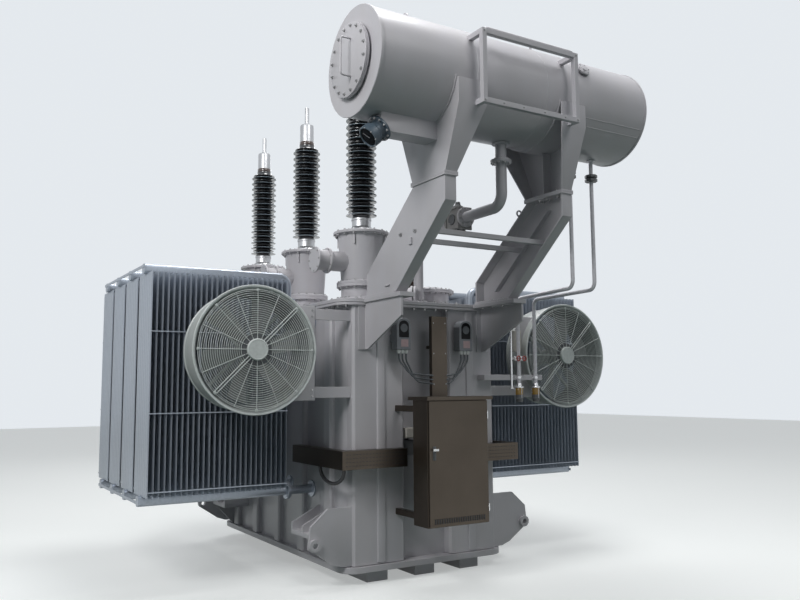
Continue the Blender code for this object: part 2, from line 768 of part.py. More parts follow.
def lower_legs(paint):
    """Cranked channel legs, open towards each other, with a foot, a head plate and a rib."""
    rear, front = leg_places()
    inner = LEG_OUTER_X - LEG_FLANGE
    thick = LEG_PLATE / sin(atan2(LEG_JOINT_Z - LEG_FOOT_Z - LEG_KINK_HIGH, LEG_FOOT_DEPTH))
    for name, side in (("left", -1), ("right", 1)):
        web = prism(rear + front[::-1], 0, LEG_OUTER_X - LEG_PLATE, LEG_OUTER_X)
        back = prism(rear + shifted(rear, -thick)[::-1], 0, inner, LEG_OUTER_X - SEAT)
        face = prism(front + shifted(front, thick)[::-1], 0, inner, LEG_OUTER_X - SEAT)
        low = [(a + b) / 2 for a, b in zip(rear[1], front[0])]
        high = [(a + b) / 2 for a, b in zip(rear[2], front[1])]
        middle = [tuple(low), tuple(high)]
        rib = prism(
            middle + shifted(middle, LEG_RIB_WIDTH)[::-1], 0,
            LEG_OUTER_X - LEG_RIB_DEPTH, LEG_OUTER_X - SEAT,
        )
        foot = block(
            (inner - LEG_JOINT_PROUD, LEG_OUTER_X + LEG_JOINT_PROUD),
            (rear[0][0], front[0][0] - LEG_JOINT_PROUD),
            (LEG_FOOT_Z, LEG_FOOT_Z + LEG_FOOT_PLATE),
        )
        head = block(
            (inner - LEG_JOINT_PROUD, LEG_OUTER_X + LEG_JOINT_PROUD),
            (rear[-1][0] + LEG_JOINT_PROUD, front[-1][0] - LEG_JOINT_PROUD),
            (LEG_JOINT_Z - GAP - LEG_JOINT_PLATE, LEG_JOINT_Z - GAP),
        )
        shapes = [on_side(s, side) for s in (web, back, face, rib, foot, head)]
        fused(f"lower_leg_{name}", shapes, paint)


def upper_legs(paint):
    """Flaring channel heads of the legs, with a saddle that the conservator lies in."""
    low = LEG_JOINT_Z
    seat_radius = CONSERVATOR_RADIUS + GAP
    outer_radius = seat_radius + SADDLE_THICKNESS
    flare_z = CONSERVATOR_Z - LEG_FLARE_DROP
    half_low, half_high = LEG_DEPTH / 2, LEG_FLARE / 2
    front = [(CONSERVATOR_Y - half_low, low), (CONSERVATOR_Y - half_high, flare_z)]
    rear = [(CONSERVATOR_Y + half_low, low), (CONSERVATOR_Y + half_high, flare_z)]
    arc = []
    for i in range(SADDLE_STEPS + 1):
        angle = (i - SADDLE_STEPS / 2) * 2 * pi / ROUND_STEPS
        arc.append((sin(angle), -cos(angle)))
    inner_arc = [(CONSERVATOR_Y + seat_radius * a, CONSERVATOR_Z + seat_radius * b) for a, b in arc]
    outer_arc = [(CONSERVATOR_Y + outer_radius * a, CONSERVATOR_Z + outer_radius * b) for a, b in arc]
    top_front = (CONSERVATOR_Y - half_high, outer_arc[0][1] - SADDLE_THICKNESS)
    top_rear = (CONSERVATOR_Y + half_high, top_front[1])
    for name, side in (("left", -1), ("right", 1)):
        web = prism(
            [front[0], front[1], top_front, top_rear, rear[1], rear[0]],
            0, LEG_OUTER_X - LEG_PLATE, LEG_OUTER_X,
        )
        shapes = [web]
        for edge, inward, top in ((front, 1, top_front), (rear, -1, top_rear)):
            outline = [edge[0], edge[1], top]
            strip = outline + shifted(outline, inward * LEG_PLATE)[::-1]
            shapes.append(prism(strip, 0, LEG_OUTER_X - LEG_FLANGE_TOP, LEG_OUTER_X - SEAT))
        saddle = prism(
            outer_arc + inner_arc[::-1], 0,
            LEG_OUTER_X - LEG_FLANGE_TOP, LEG_OUTER_X + LEG_JOINT_PROUD,
        )
        shapes.append(saddle)
        foot = block(
            (LEG_OUTER_X - LEG_FLANGE - LEG_JOINT_PROUD, LEG_OUTER_X + LEG_JOINT_PROUD),
            (front[0][0] - LEG_JOINT_PROUD, rear[0][0] + LEG_JOINT_PROUD),
            (LEG_JOINT_Z, LEG_JOINT_Z + LEG_JOINT_PLATE),
        )
        shapes.append(foot)
        slant = prism(
            [
                (LEG_OUTER_X - LEG_FLANGE, low - OVERRUN), (LEG_OUTER_X - LEG_FLANGE, low),
                (LEG_OUTER_X - LEG_FLANGE_TOP, flare_z),
                (LEG_OUTER_X - LEG_FLANGE_TOP - OVERRUN, flare_z),
                (LEG_OUTER_X - LEG_FLANGE_TOP - OVERRUN, low - OVERRUN),
            ],
            1, CONSERVATOR_Y - LEG_FLARE, CONSERVATOR_Y + LEG_FLARE,
        )
        drum = disc(
            (LEG_OUTER_X - LEG_FLANGE_TOP - OVERRUN, CONSERVATOR_Y, CONSERVATOR_Z), (1, 0, 0),
            seat_radius + SADDLE_THICKNESS / 2, LEG_FLANGE_TOP + 2 * OVERRUN, ROUND_STEPS,
        )
        cuts = [on_side(slant, side), on_side(drum, side)]
        body = [on_side(s, side) for s in shapes[:3]]
        rest = [on_side(s, side) for s in shapes[3:]]
        leg = fused(f"upper_leg_{name}", body, paint, cuts)
        channel = bmesh.new()
        channel.from_mesh(leg.data)
        bpy.data.objects.remove(leg, do_unlink=True)
        fused(f"upper_leg_{name}", [channel] + rest, paint)


def braces(paint):
    """Two square bars that tie the webs of the lower legs together."""
    reach = LEG_OUTER_X - LEG_PLATE - GAP
    half = BRACE_SIZE / 2
    for name, y, z in (("front", BRACE_FRONT_Y, BRACE_FRONT_Z), ("rear", BRACE_REAR_Y, BRACE_REAR_Z)):
        bar = block((-reach, reach), (y - half, y + half), (z - half, z + half))
        add_object(f"leg_brace_{name}", bar, paint)


def conservator(paint):
    """Conservator shell, its two ends and the bolted manhole cover."""
    ring = CONSERVATOR_RADIUS
    axis_y, axis_z = CONSERVATOR_Y, CONSERVATOR_Z
    shell = turned(
        [
            (ring, 0), (ring, CONSERVATOR_RIGHT - CONSERVATOR_LEFT),
            (ring - CONSERVATOR_WALL, CONSERVATOR_RIGHT - CONSERVATOR_LEFT),
            (ring - CONSERVATOR_WALL, 0),
        ],
        (CONSERVATOR_LEFT, axis_y, axis_z), (1, 0, 0), ROUND_STEPS,
    )
    add_object("conservator_shell", shell, paint)
    neck_start = END_THICKNESS
    flange_start = neck_start + MANHOLE_NECK
    left_end = turned(
        [
            (0, 0), (ring + END_LIP, 0), (ring + END_LIP, neck_start),
            (MANHOLE_NECK_RADIUS, neck_start), (MANHOLE_NECK_RADIUS, flange_start),
            (MANHOLE_RADIUS, flange_start), (MANHOLE_RADIUS, flange_start + MANHOLE_FLANGE),
            (0, flange_start + MANHOLE_FLANGE),
        ],
        (CONSERVATOR_LEFT - GAP, axis_y, axis_z), (-1, 0, 0), ROUND_STEPS,
    )
    add_object("conservator_end_left", left_end, paint)
    dish = [(0, 0), (ring + END_LIP, 0), (ring + END_LIP, END_THICKNESS)]
    dish += [(ring * a, END_THICKNESS + END_DISH * b) for a, b in END_DISH_SHARES]
    dish.append((0, END_THICKNESS + END_DISH))
    right_end = turned(dish, (CONSERVATOR_RIGHT + GAP, axis_y, axis_z), (1, 0, 0), ROUND_STEPS)
    add_object("conservator_end_right", right_end, paint)
    face_x = CONSERVATOR_LEFT - 2 * GAP - flange_start - MANHOLE_FLANGE
    lid = disc((face_x, axis_y, axis_z), (-1, 0, 0), MANHOLE_RADIUS, MANHOLE_COVER, ROUND_STEPS)
    out_x = face_x - MANHOLE_COVER
    shapes = [lid]
    for side in (-1, 1):
        z = axis_z + side * HANDLE_SPREAD
        y0, y1 = axis_y - HANDLE_LENGTH / 2, axis_y + HANDLE_LENGTH / 2
        route = [
            (out_x + SEAT, y0, z), (out_x - HANDLE_REACH, y0, z),
            (out_x - HANDLE_REACH, y1, z), (out_x + SEAT, y1, z),
        ]
        shapes.append(pipe(route, HANDLE_RADIUS, 2 * HANDLE_RADIUS, SMALL_SIDES))
    fused("manhole_cover", shapes, paint)


def conservator_frame(paint):
    """Square frame in front of the conservator, stayed to the shell and to the legs."""
    back_y = CONSERVATOR_Y - CONSERVATOR_RADIUS - FRAME_STANDOFF
    front_y = back_y - FRAME_BAR
    low_z = (FRAME_LOW_Z, FRAME_LOW_Z + FRAME_BAR)
    high_z = (FRAME_HIGH_Z - FRAME_BAR, FRAME_HIGH_Z)
    shapes = []
    for centre in (FRAME_LEFT, FRAME_RIGHT):
        x = (centre - FRAME_BAR / 2, centre + FRAME_BAR / 2)
        shapes.append(block(x, (front_y, back_y), (FRAME_LOW_Z, FRAME_HIGH_Z)))
        shapes.append(block(x, (back_y - SEAT, CONSERVATOR_Y), high_z))
        shapes.append(block(x, (back_y - SEAT, CONSERVATOR_Y - LEG_FLARE / 2 - GAP), low_z))
    for z in (low_z, high_z):
        shapes.append(block((FRAME_LEFT, FRAME_RIGHT), (front_y, back_y), z))
    drum = disc(
        (FRAME_LEFT - FRAME_BAR, CONSERVATOR_Y, CONSERVATOR_Z), (1, 0, 0), CONSERVATOR_RADIUS + GAP,
        FRAME_RIGHT - FRAME_LEFT + 2 * FRAME_BAR, ROUND_STEPS,
    )
    fused("conservator_frame", shapes, paint, [drum])


def level_gauge(paint):
    """Duct welded under the conservator, with the tilted oil level gauge on its sloping end."""
    end_x, leg_x = DUCT_LEFT, -LEG_OUTER_X - GAP
    rise = Vector((-sin(GAUGE_TILT), 0, cos(GAUGE_TILT)))
    ahead = Vector((-cos(GAUGE_TILT), 0, -sin(GAUGE_TILT)))
    low_corner = Vector((end_x, (DUCT_FRONT_Y + DUCT_BACK_Y) / 2, DUCT_LOW))
    high_corner = low_corner + rise * DUCT_END
    outline = [
        (leg_x, DUCT_LOW), (end_x, DUCT_LOW), (high_corner.x, high_corner.z),
        (high_corner.x, CONSERVATOR_Z), (leg_x, CONSERVATOR_Z),
    ]
    duct = prism(outline, 1, DUCT_FRONT_Y, DUCT_BACK_Y)
    seat_radius = CONSERVATOR_RADIUS + GAP
    saddle_x = -LEG_OUTER_X - LEG_JOINT_PROUD - GAP
    cuts = [
        disc(
            (CONSERVATOR_LEFT, CONSERVATOR_Y, CONSERVATOR_Z), (1, 0, 0), seat_radius,
            leg_x + OVERRUN - CONSERVATOR_LEFT, ROUND_STEPS,
        ),
        disc(
            (saddle_x, CONSERVATOR_Y, CONSERVATOR_Z), (1, 0, 0),
            seat_radius + SADDLE_THICKNESS + GAP, leg_x + OVERRUN - saddle_x, ROUND_STEPS,
        ),
    ]
    flange_at = low_corner + rise * DUCT_END / 2 - ahead * SEAT
    flange = disc(flange_at, ahead, GAUGE_FLANGE_RADIUS, GAUGE_FLANGE + SEAT, PIPE_SIDES + SMALL_SIDES)
    dial = turned(
        [
            (0, 0), (GAUGE_RADIUS, 0), (GAUGE_RADIUS, GAUGE_BEZEL), (GAUGE_FACE_RADIUS, GAUGE_DEPTH),
            (0, GAUGE_DEPTH),
        ],
        flange_at + ahead * GAUGE_FLANGE, ahead, PIPE_SIDES + SMALL_SIDES,
    )
    fused("oil_level_gauge", [duct, flange, dial], paint, cuts)


def oil_pipe(paint, dark):
    """Pipe from the conservator through the gas relay down to the cover."""
    x = OIL_PIPE_X
    top = CONSERVATOR_Z - CONSERVATOR_RADIUS - GAP
    relay_front = RELAY_Y - RELAY_LENGTH / 2
    relay_back = RELAY_Y + RELAY_LENGTH / 2
    upper = pipe(
        [(x, CONSERVATOR_Y, top), (x, CONSERVATOR_Y, OIL_PIPE_LOW), (x, relay_front - GAP, OIL_PIPE_LOW)],
        OIL_PIPE_RADIUS, OIL_PIPE_BEND,
    )
    ring = disc(
        (x, CONSERVATOR_Y, OIL_FLANGE_Z), (0, 0, 1), OIL_FLANGE_RADIUS, OIL_FLANGE, ROUND_STEPS // 2
    )
    end_ring = disc(
        (x, relay_front - GAP, OIL_PIPE_LOW), (0, -1, 0), OIL_FLANGE_RADIUS, RELAY_FLANGE,
        ROUND_STEPS // 2,
    )
    fused("oil_pipe_upper", [upper, ring, end_ring], paint)
    lower = pipe(
        [
            (x, relay_back + GAP, OIL_PIPE_LOW), (x, OIL_PIPE_FOOT_Y, OIL_PIPE_LOW),
            (x, OIL_PIPE_FOOT_Y, COVER_TOP + GAP),
        ],
        OIL_PIPE_RADIUS, OIL_PIPE_BEND,
    )
    near_ring = disc(
        (x, relay_back + GAP, OIL_PIPE_LOW), (0, 1, 0), OIL_FLANGE_RADIUS, RELAY_FLANGE,
        ROUND_STEPS // 2,
    )
    foot = disc(
        (x, OIL_PIPE_FOOT_Y, COVER_TOP + GAP), (0, 0, 1), OIL_FLANGE_RADIUS, OIL_FOOT_FLANGE,
        ROUND_STEPS // 2,
    )
    fused("oil_pipe_lower", [lower, near_ring, foot], paint)
    low_z = OIL_PIPE_LOW - RELAY_HEIGHT / 2
    relay = block(
        (x - RELAY_WIDTH / 2, x + RELAY_WIDTH / 2), (relay_front, relay_back),
        (low_z, low_z + RELAY_HEIGHT),
    )
    dome = disc(
        (x, RELAY_Y, low_z + RELAY_HEIGHT - SEAT), (0, 0, 1), RELAY_DOME_RADIUS,
        RELAY_DOME_HEIGHT, PIPE_SIDES,
    )
    fused("gas_relay", [relay, dome], dark)


def turret_profile():
    """Turned profile of a high-voltage turret from the cover up, as (radius, height)."""
    low = COVER_TOP + GAP
    heights = [
        (0, low), (TURRET_FOOT_RADIUS, low), (TURRET_FOOT_RADIUS, low + TURRET_FLANGE),
        (TURRET_LOWER_RADIUS, low + TURRET_FLANGE),
        (TURRET_LOWER_RADIUS, TURRET_JOINT_Z - TURRET_FLANGE),
        (TURRET_FLANGE_RADIUS, TURRET_JOINT_Z - TURRET_FLANGE),
        (TURRET_FLANGE_RADIUS, TURRET_JOINT_Z + TURRET_FLANGE),
        (TURRET_LOW_BODY_RADIUS, TURRET_JOINT_Z + TURRET_FLANGE),
        (TURRET_TOP_BODY_RADIUS, TURRET_TOP_Z - TURRET_FLANGE),
        (TURRET_TOP_RADIUS, TURRET_TOP_Z - TURRET_FLANGE),
        (TURRET_TOP_RADIUS, TURRET_TOP_Z), (0, TURRET_TOP_Z),
    ]
    return [(r, z - low) for r, z in heights]


def turret(index, y, paint):
    """Turret with a blanked hand-hole on its outer side."""
    low = COVER_TOP + GAP
    body = turned(turret_profile(), (PHASE_X, y, low), (0, 0, 1), TURRET_SIDES)
    neck = disc(
        (PHASE_X, y, TURRET_PORT_Z), (-1, 0, 0), TURRET_PORT_RADIUS,
        TURRET_TOP_BODY_RADIUS + TURRET_PORT_REACH, PIPE_SIDES,
    )
    blank = disc(
        (PHASE_X - TURRET_TOP_BODY_RADIUS - TURRET_PORT_REACH + SEAT, y, TURRET_PORT_Z), (-1, 0, 0),
        TURRET_PORT_FLANGE_RADIUS, TURRET_PORT_FLANGE, PIPE_SIDES,
    )
    joint = disc(
        (PHASE_X - TURRET_TOP_BODY_RADIUS - TURRET_PORT_REACH / 2, y, TURRET_PORT_Z), (-1, 0, 0),
        TURRET_PORT_FLANGE_RADIUS, TURRET_PORT_FLANGE, PIPE_SIDES,
    )
    fused(f"hv_turret_{index}", [body, neck, blank, joint], paint)


def bushing(index, y, glaze):
    """Turned bushing with a flange, sheds, a head and a terminal stud."""
    low = TURRET_TOP_Z + GAP
    pitch = (BUSHING_SHED_END - BUSHING_SHED_START) / BUSHING_SHEDS
    points = [
        (0, low), (BUSHING_FLANGE_RADIUS, low), (BUSHING_FLANGE_RADIUS, low + BUSHING_FLANGE),
        (BUSHING_NECK_RADIUS, low + BUSHING_FLANGE), (BUSHING_CORE_RADIUS, BUSHING_SHED_START),
    ]
    for i in range(BUSHING_SHEDS):
        start = BUSHING_SHED_START + i * pitch
        points.append((BUSHING_SHED_RADIUS, start + pitch / 3))
        points.append((BUSHING_CORE_RADIUS, start + pitch))
    points += [
        (BUSHING_CAP_RADIUS, BUSHING_SHED_END + pitch / 4), (BUSHING_CAP_RADIUS, BUSHING_CAP_END),
        (BUSHING_STUD_RADIUS, BUSHING_CAP_END), (BUSHING_STUD_RADIUS, BUSHING_STUD_END),
        (0, BUSHING_STUD_END),
    ]
    profile = [(r, z - low) for r, z in points]
    add_object(
        f"hv_bushing_{index}", turned(profile, (PHASE_X, y, low), (0, 0, 1), BUSHING_SIDES), glaze
    )


def low_voltage_row(glaze):
    """Low turret box on the far side of the cover with a row of short bushings on it."""
    low = COVER_TOP + GAP
    half = LV_PITCH * (LV_COUNT - 1) / 2 + LV_BOX_WIDTH / 2
    shapes = [block(
        (LV_X - LV_BOX_WIDTH / 2, LV_X + LV_BOX_WIDTH / 2), (LV_MIDDLE_Y - half, LV_MIDDLE_Y + half),
        (low, low + LV_BOX_HEIGHT),
    )]
    for i in range(LV_COUNT):
        y = LV_MIDDLE_Y + (i - (LV_COUNT - 1) / 2) * LV_PITCH
        shapes.append(low_voltage_bushing(y, low + LV_BOX_HEIGHT - SEAT))
    fused("lv_bushings", shapes, glaze)


def low_voltage_bushing(y, low):
    """Shape of one short bushing."""
    pitch = LV_SHED_LENGTH / LV_SHEDS
    points = [(0, 0), (LV_FLANGE_RADIUS, 0), (LV_FLANGE_RADIUS, LV_FLANGE), (LV_CORE_RADIUS, LV_FLANGE)]
    for i in range(LV_SHEDS):
        start = LV_FLANGE + i * pitch
        points.append((LV_SHED_RADIUS, start + pitch / 2))
        points.append((LV_CORE_RADIUS, start + pitch))
    top = LV_FLANGE + LV_SHED_LENGTH
    points += [(LV_STUD_RADIUS, top), (LV_STUD_RADIUS, top + LV_STUD), (0, top + LV_STUD)]
    return turned(points, (LV_X, y, low), (0, 0, 1), PIPE_SIDES)


def tap_changer(paint):
    """Flanged tap changer head with a shallow dome."""
    low = COVER_TOP + GAP
    profile = [
        (0, 0), (TAP_FLANGE_RADIUS, 0), (TAP_FLANGE_RADIUS, TAP_FLANGE), (TAP_RADIUS, TAP_FLANGE),
        (TAP_RADIUS, TAP_HEIGHT), (TAP_FLANGE_RADIUS, TAP_HEIGHT),
        (TAP_FLANGE_RADIUS, TAP_HEIGHT + TAP_FLANGE), (TAP_RADIUS, TAP_HEIGHT + TAP_FLANGE),
        (TAP_RADIUS / 2, TAP_HEIGHT + TAP_DOME), (0, TAP_HEIGHT + TAP_DOME),
    ]
    add_object("tap_changer_head", turned(profile, (TAP_X, TAP_Y, low), (0, 0, 1), TAP_SIDES), paint)


def header(low_face_z, away):
    """Header bar whose flat face at low_face_z is split into strips where the fins meet it.

    The bar rises from that face when away is 1, and hangs from it when away is -1.
    """
    bm = bmesh.new()
    half = HEADER_WIDTH / 2
    x = RADIATOR_INNER_X - HEADER_OVERHANG
    pair = [bm.verts.new((x, -half, low_face_z)), bm.verts.new((x, half, low_face_z))]
    edge = bm.edges.new(pair)
    widths = [HEADER_OVERHANG]
    for i in range(FIN_COUNT):
        widths.append(FIN_THICKNESS)
        widths.append(HEADER_OVERHANG if i == FIN_COUNT - 1 else FIN_PITCH - FIN_THICKNESS)
    strips = []
    for width in widths:
        made = bmesh.ops.extrude_edge_only(bm, edges=[edge])["geom"]
        moved = [item for item in made if isinstance(item, bmesh.types.BMVert)]
        ahead = [item for item in made if isinstance(item, bmesh.types.BMEdge)]
        edge = [item for item in ahead if all(v in moved for v in item.verts)][0]
        strips.append([item for item in made if isinstance(item, bmesh.types.BMFace)][0])
        bmesh.ops.translate(bm, verts=moved, vec=(width, 0, 0))
    rim = [e for e in bm.edges if e.is_boundary]
    made = bmesh.ops.extrude_edge_only(bm, edges=rim)["geom"]
    moved = [item for item in made if isinstance(item, bmesh.types.BMVert)]
    bmesh.ops.translate(bm, verts=moved, vec=(0, 0, away * (HEADER_HEIGHT - HEADER_ROUND)))
    top = [e for e in bm.edges if e.is_boundary]
    made = bmesh.ops.extrude_edge_only(bm, edges=top)["geom"]
    moved = [item for item in made if isinstance(item, bmesh.types.BMVert)]
    bmesh.ops.translate(bm, verts=moved, vec=(0, 0, away * HEADER_ROUND))
    for vert in moved:
        vert.co.y *= (half - HEADER_ROUND) / half
    lid = [e for e in bm.edges if e.is_boundary]
    bmesh.ops.contextual_create(bm, geom=lid)
    return bm, strips[1::2]


def radiator_core():
    """Two headers joined by flat fins that reach out past them on both sides."""
    upper, _ = header(FIN_HIGH, 1)
    lower, _ = header(FIN_LOW, -1)
    mesh = bpy.data.meshes.new("header")
    lower.to_mesh(mesh)
    lower.free()
    upper.from_mesh(mesh)
    bpy.data.meshes.remove(mesh)
    bm = upper
    half = HEADER_WIDTH / 2
    tolerance = GAP / 10
    for i in range(FIN_COUNT):
        x0 = RADIATOR_INNER_X + i * FIN_PITCH
        pair = []
        for z in (FIN_HIGH, FIN_LOW):
            centre = Vector((x0 + FIN_THICKNESS / 2, 0, z))
            pair.append(min(bm.faces, key=lambda f: (f.calc_center_median() - centre).length))
        bmesh.ops.bridge_loops(bm, edges=[e for f in pair for e in f.edges])
        bmesh.ops.delete(bm, geom=[f for f in pair if f.is_valid], context="FACES_ONLY")
    sides = {}
    for face in bm.faces:
        zs = [v.co.z for v in face.verts]
        if max(zs) - min(zs) < FIN_HIGH - FIN_LOW - tolerance or len(face.verts) != 4:
            continue
        ys = [v.co.y for v in face.verts]
        if max(ys) - min(ys) < tolerance:
            sides.setdefault(1 if ys[0] > 0 else -1, []).append(face)
    wing = FIN_WIDTH / 2 - half
    for direction, faces in sides.items():
        moved, _ = pulled(bm, faces)
        bmesh.ops.translate(bm, verts=moved, vec=(0, direction * wing, 0))
    bmesh.ops.dissolve_limit(bm, angle_limit=radians(0.1), verts=bm.verts, edges=bm.edges)
    bmesh.ops.recalc_face_normals(bm, faces=bm.faces)
    return bm


def radiator_pipes():
    """Gooseneck from the top header and straight return from the bottom one, to the tank wall."""
    top_z = FIN_HIGH + HEADER_HEIGHT / 2
    low_z = FIN_LOW - HEADER_HEIGHT / 2
    start_x = RADIATOR_INNER_X
    wall_x = TANK_SIDE_X + GAP
    shapes = [
        pipe(
            [(start_x, 0, top_z), (GOOSE_X, 0, top_z), (GOOSE_X, 0, GOOSE_LOW), (wall_x, 0, GOOSE_LOW)],
            GOOSE_RADIUS, GOOSE_BEND, SMALL_SIDES,
        ),
        disc(
            (GOOSE_X, 0, GOOSE_FLANGE_Z - GOOSE_FLANGE / 2), (0, 0, 1), GOOSE_FLANGE_RADIUS,
            GOOSE_FLANGE, PIPE_SIDES,
        ),
        pipe([(start_x, 0, low_z), (wall_x, 0, low_z)], GOOSE_RADIUS, GOOSE_BEND, SMALL_SIDES),
        disc(
            (GOOSE_X, 0, low_z), (-1, 0, 0), GOOSE_FLANGE_RADIUS, GOOSE_FLANGE, PIPE_SIDES
        ),
    ]
    return shapes


def radiators(paint):
    """Two banks of radiators, each one a copy of the same shape."""
    first = fused("radiator", [radiator_core()] + radiator_pipes(), paint)
    for name, side in (("left", -1), ("right", 1)):
        for i in range(RADIATOR_COUNT):
            bm = bmesh.new()
            bm.from_mesh(first.data)
            y = (i - (RADIATOR_COUNT - 1) / 2) * RADIATOR_PITCH
            bmesh.ops.translate(bm, verts=bm.verts, vec=(0, y, 0))
            add_object(f"radiator_{name}_{i + 1}", on_side(bm, side), paint)
    bpy.data.objects.remove(first, do_unlink=True)


def fan_shroud(name, side, paint):
    """Duct ring round the fan, a drum that widens to the rear, with a bell mouth."""
    profile = [
        (FAN_RADIUS, 0), (FAN_REAR_RADIUS, FAN_DEPTH), (FAN_THROAT_RADIUS, FAN_DEPTH),
        (FAN_THROAT_RADIUS, FAN_MOUTH), (FAN_RADIUS - FAN_WALL, 0),
    ]
    ring = turned(profile, (side * FAN_X, FAN_FRONT, FAN_Z), (0, 1, 0), ROUND_STEPS)
    fused(f"fan_shroud_{name}", [ring] + fan_motor(side), paint)


def fan_guard(name, side, wire):
    """Wire guard of rings and spokes, standing just in front of the shroud."""
    centre = Vector((side * FAN_X, FAN_FRONT - GAP, FAN_Z))
    back = Vector((0, -1, 0))
    hub = disc(centre, back, GUARD_HUB_RADIUS, GUARD_HUB_DEPTH, GUARD_STEPS // 2)
    shapes = [hub]
    for i in range(GUARD_RINGS):
        radius = GUARD_HUB_RADIUS + (GUARD_RADIUS - GUARD_HUB_RADIUS) * (i + 1) / GUARD_RINGS
        shapes.append(turned(
            [(radius, 0), (radius, GUARD_DEPTH), (radius - GUARD_BAR, GUARD_DEPTH), (radius - GUARD_BAR, 0)],
            centre, back, GUARD_STEPS,
        ))
    for i in range(GUARD_SPOKES):
        spoke = block(
            (GUARD_HUB_RADIUS - GUARD_BAR, GUARD_RADIUS - GUARD_BAR / 2), (-GUARD_BAR / 2, GUARD_BAR / 2),
            (GUARD_DEPTH / 4, GUARD_DEPTH * 3 / 4),
        )
        turn = Matrix.Rotation(pi * (2 * i + 1) / GUARD_SPOKES, 4, "Z")
        stand = Matrix.Translation(centre) @ Matrix.Rotation(pi / 2, 4, "X")
        bmesh.ops.transform(spoke, matrix=stand @ turn, verts=spoke.verts)
        shapes.append(spoke)
    fused(f"fan_guard_{name}", shapes, wire)


def fan_rotor(name, side, paint):
    """Rotor with twisted blades, with its origin on its shaft."""
    front_y = FAN_FRONT + ROTOR_SETBACK
    centre = Vector((side * FAN_X, front_y, FAN_Z))
    tip = FAN_THROAT_RADIUS - ROTOR_TIP_CLEARANCE
    hub = disc(centre, (0, 1, 0), ROTOR_HUB_RADIUS, ROTOR_HUB_DEPTH, ROUND_STEPS // 2)
    shaft = disc(
        centre + Vector((0, ROTOR_HUB_DEPTH - SEAT, 0)), (0, 1, 0), ROTOR_SHAFT_RADIUS,
        MOTOR_CLEARANCE + SEAT - GAP, PIPE_SIDES,
    )
    shapes = [hub, shaft]
    middle = centre + Vector((0, ROTOR_HUB_DEPTH / 2, 0))
    for i in range(ROTOR_BLADES):
        blade = block(
            (-ROTOR_BLADE_CHORD / 2, ROTOR_BLADE_CHORD / 2),
            (-ROTOR_BLADE_THICKNESS / 2, ROTOR_BLADE_THICKNESS / 2),
            (ROTOR_HUB_RADIUS - 2 * ROTOR_BLADE_THICKNESS, tip),
        )
        for vert in blade.verts:
            if vert.co.z < ROTOR_HUB_RADIUS:
                vert.co.x *= ROTOR_ROOT_CHORD / ROTOR_BLADE_CHORD
        pitch = Matrix.Rotation(side * ROTOR_BLADE_PITCH, 4, "Z")
        turn = Matrix.Rotation(2 * pi * i / ROTOR_BLADES, 4, "Y")
        bmesh.ops.transform(blade, matrix=Matrix.Translation(middle) @ turn @ pitch, verts=blade.verts)
        shapes.append(blade)
    fused(f"fan_rotor_{name}", shapes, paint, origin=centre)


def fan_motor(side):
    """Shapes of the motor behind the rotor and of the cross that holds it in the shroud."""
    y0 = FAN_FRONT + ROTOR_SETBACK + ROTOR_HUB_DEPTH + MOTOR_CLEARANCE
    centre = (side * FAN_X, y0, FAN_Z)
    shapes = [disc(centre, (0, 1, 0), MOTOR_RADIUS, MOTOR_DEPTH, PIPE_SIDES)]
    bar_y = FAN_FRONT + FAN_DEPTH - MOTOR_ARM - SEAT
    reach = FAN_THROAT_RADIUS + FAN_WALL / 2
    shapes.append(block(
        (side * FAN_X - reach, side * FAN_X + reach), (bar_y, bar_y + MOTOR_ARM),
        (FAN_Z - MOTOR_ARM, FAN_Z + MOTOR_ARM),
    ))
    shapes.append(block(
        (side * FAN_X - MOTOR_ARM, side * FAN_X + MOTOR_ARM), (bar_y, bar_y + MOTOR_ARM),
        (FAN_Z - reach, FAN_Z + reach),
    ))
    shapes.append(disc(
        (side * FAN_X, y0 + MOTOR_DEPTH - SEAT, FAN_Z), (0, 1, 0), MOTOR_NECK_RADIUS,
        bar_y + MOTOR_ARM - y0 - MOTOR_DEPTH + SEAT, PIPE_SIDES,
    ))
    return shapes


def fan_bracket(name, side, paint):
    """Plate that grips the shroud's side, on two arms from the tank's end column."""
    y0 = FAN_FRONT + FAN_PLATE_SETBACK
    plate = block(
        (FAN_PLATE_INNER_X, FAN_PLATE_OUTER_X), (y0, y0 + FAN_PLATE), (FAN_PLATE_LOW, FAN_PLATE_HIGH)
    )
    shapes = [on_side(plate, side)]
    for z in (FAN_PLATE_LOW + FAN_ARM_INSET, FAN_PLATE_HIGH - FAN_ARM_INSET - FAN_ARM_HEIGHT):
        shapes.append(on_side(block(
            (COLUMN_OUTER_X + GAP, FAN_PLATE_INNER_X + FAN_ARM_HEIGHT),
            (y0 + SEAT, y0 + FAN_PLATE + FAN_ARM_THICKNESS), (z, z + FAN_ARM_HEIGHT),
        ), side))
    widening = (FAN_REAR_RADIUS - FAN_RADIUS) / FAN_DEPTH
    start, stop = y0 - OVERRUN - FAN_FRONT, y0 + FAN_PLATE + FAN_ARM_THICKNESS + OVERRUN - FAN_FRONT
    outline = [(0, start)] + [(FAN_RADIUS + widening * d + GAP, d) for d in (start, stop)] + [(0, stop)]
    cut = turned(outline, (side * FAN_X, FAN_FRONT, FAN_Z), (0, 1, 0), ROUND_STEPS)
    fused(f"fan_bracket_{name}", shapes, paint, [cut])


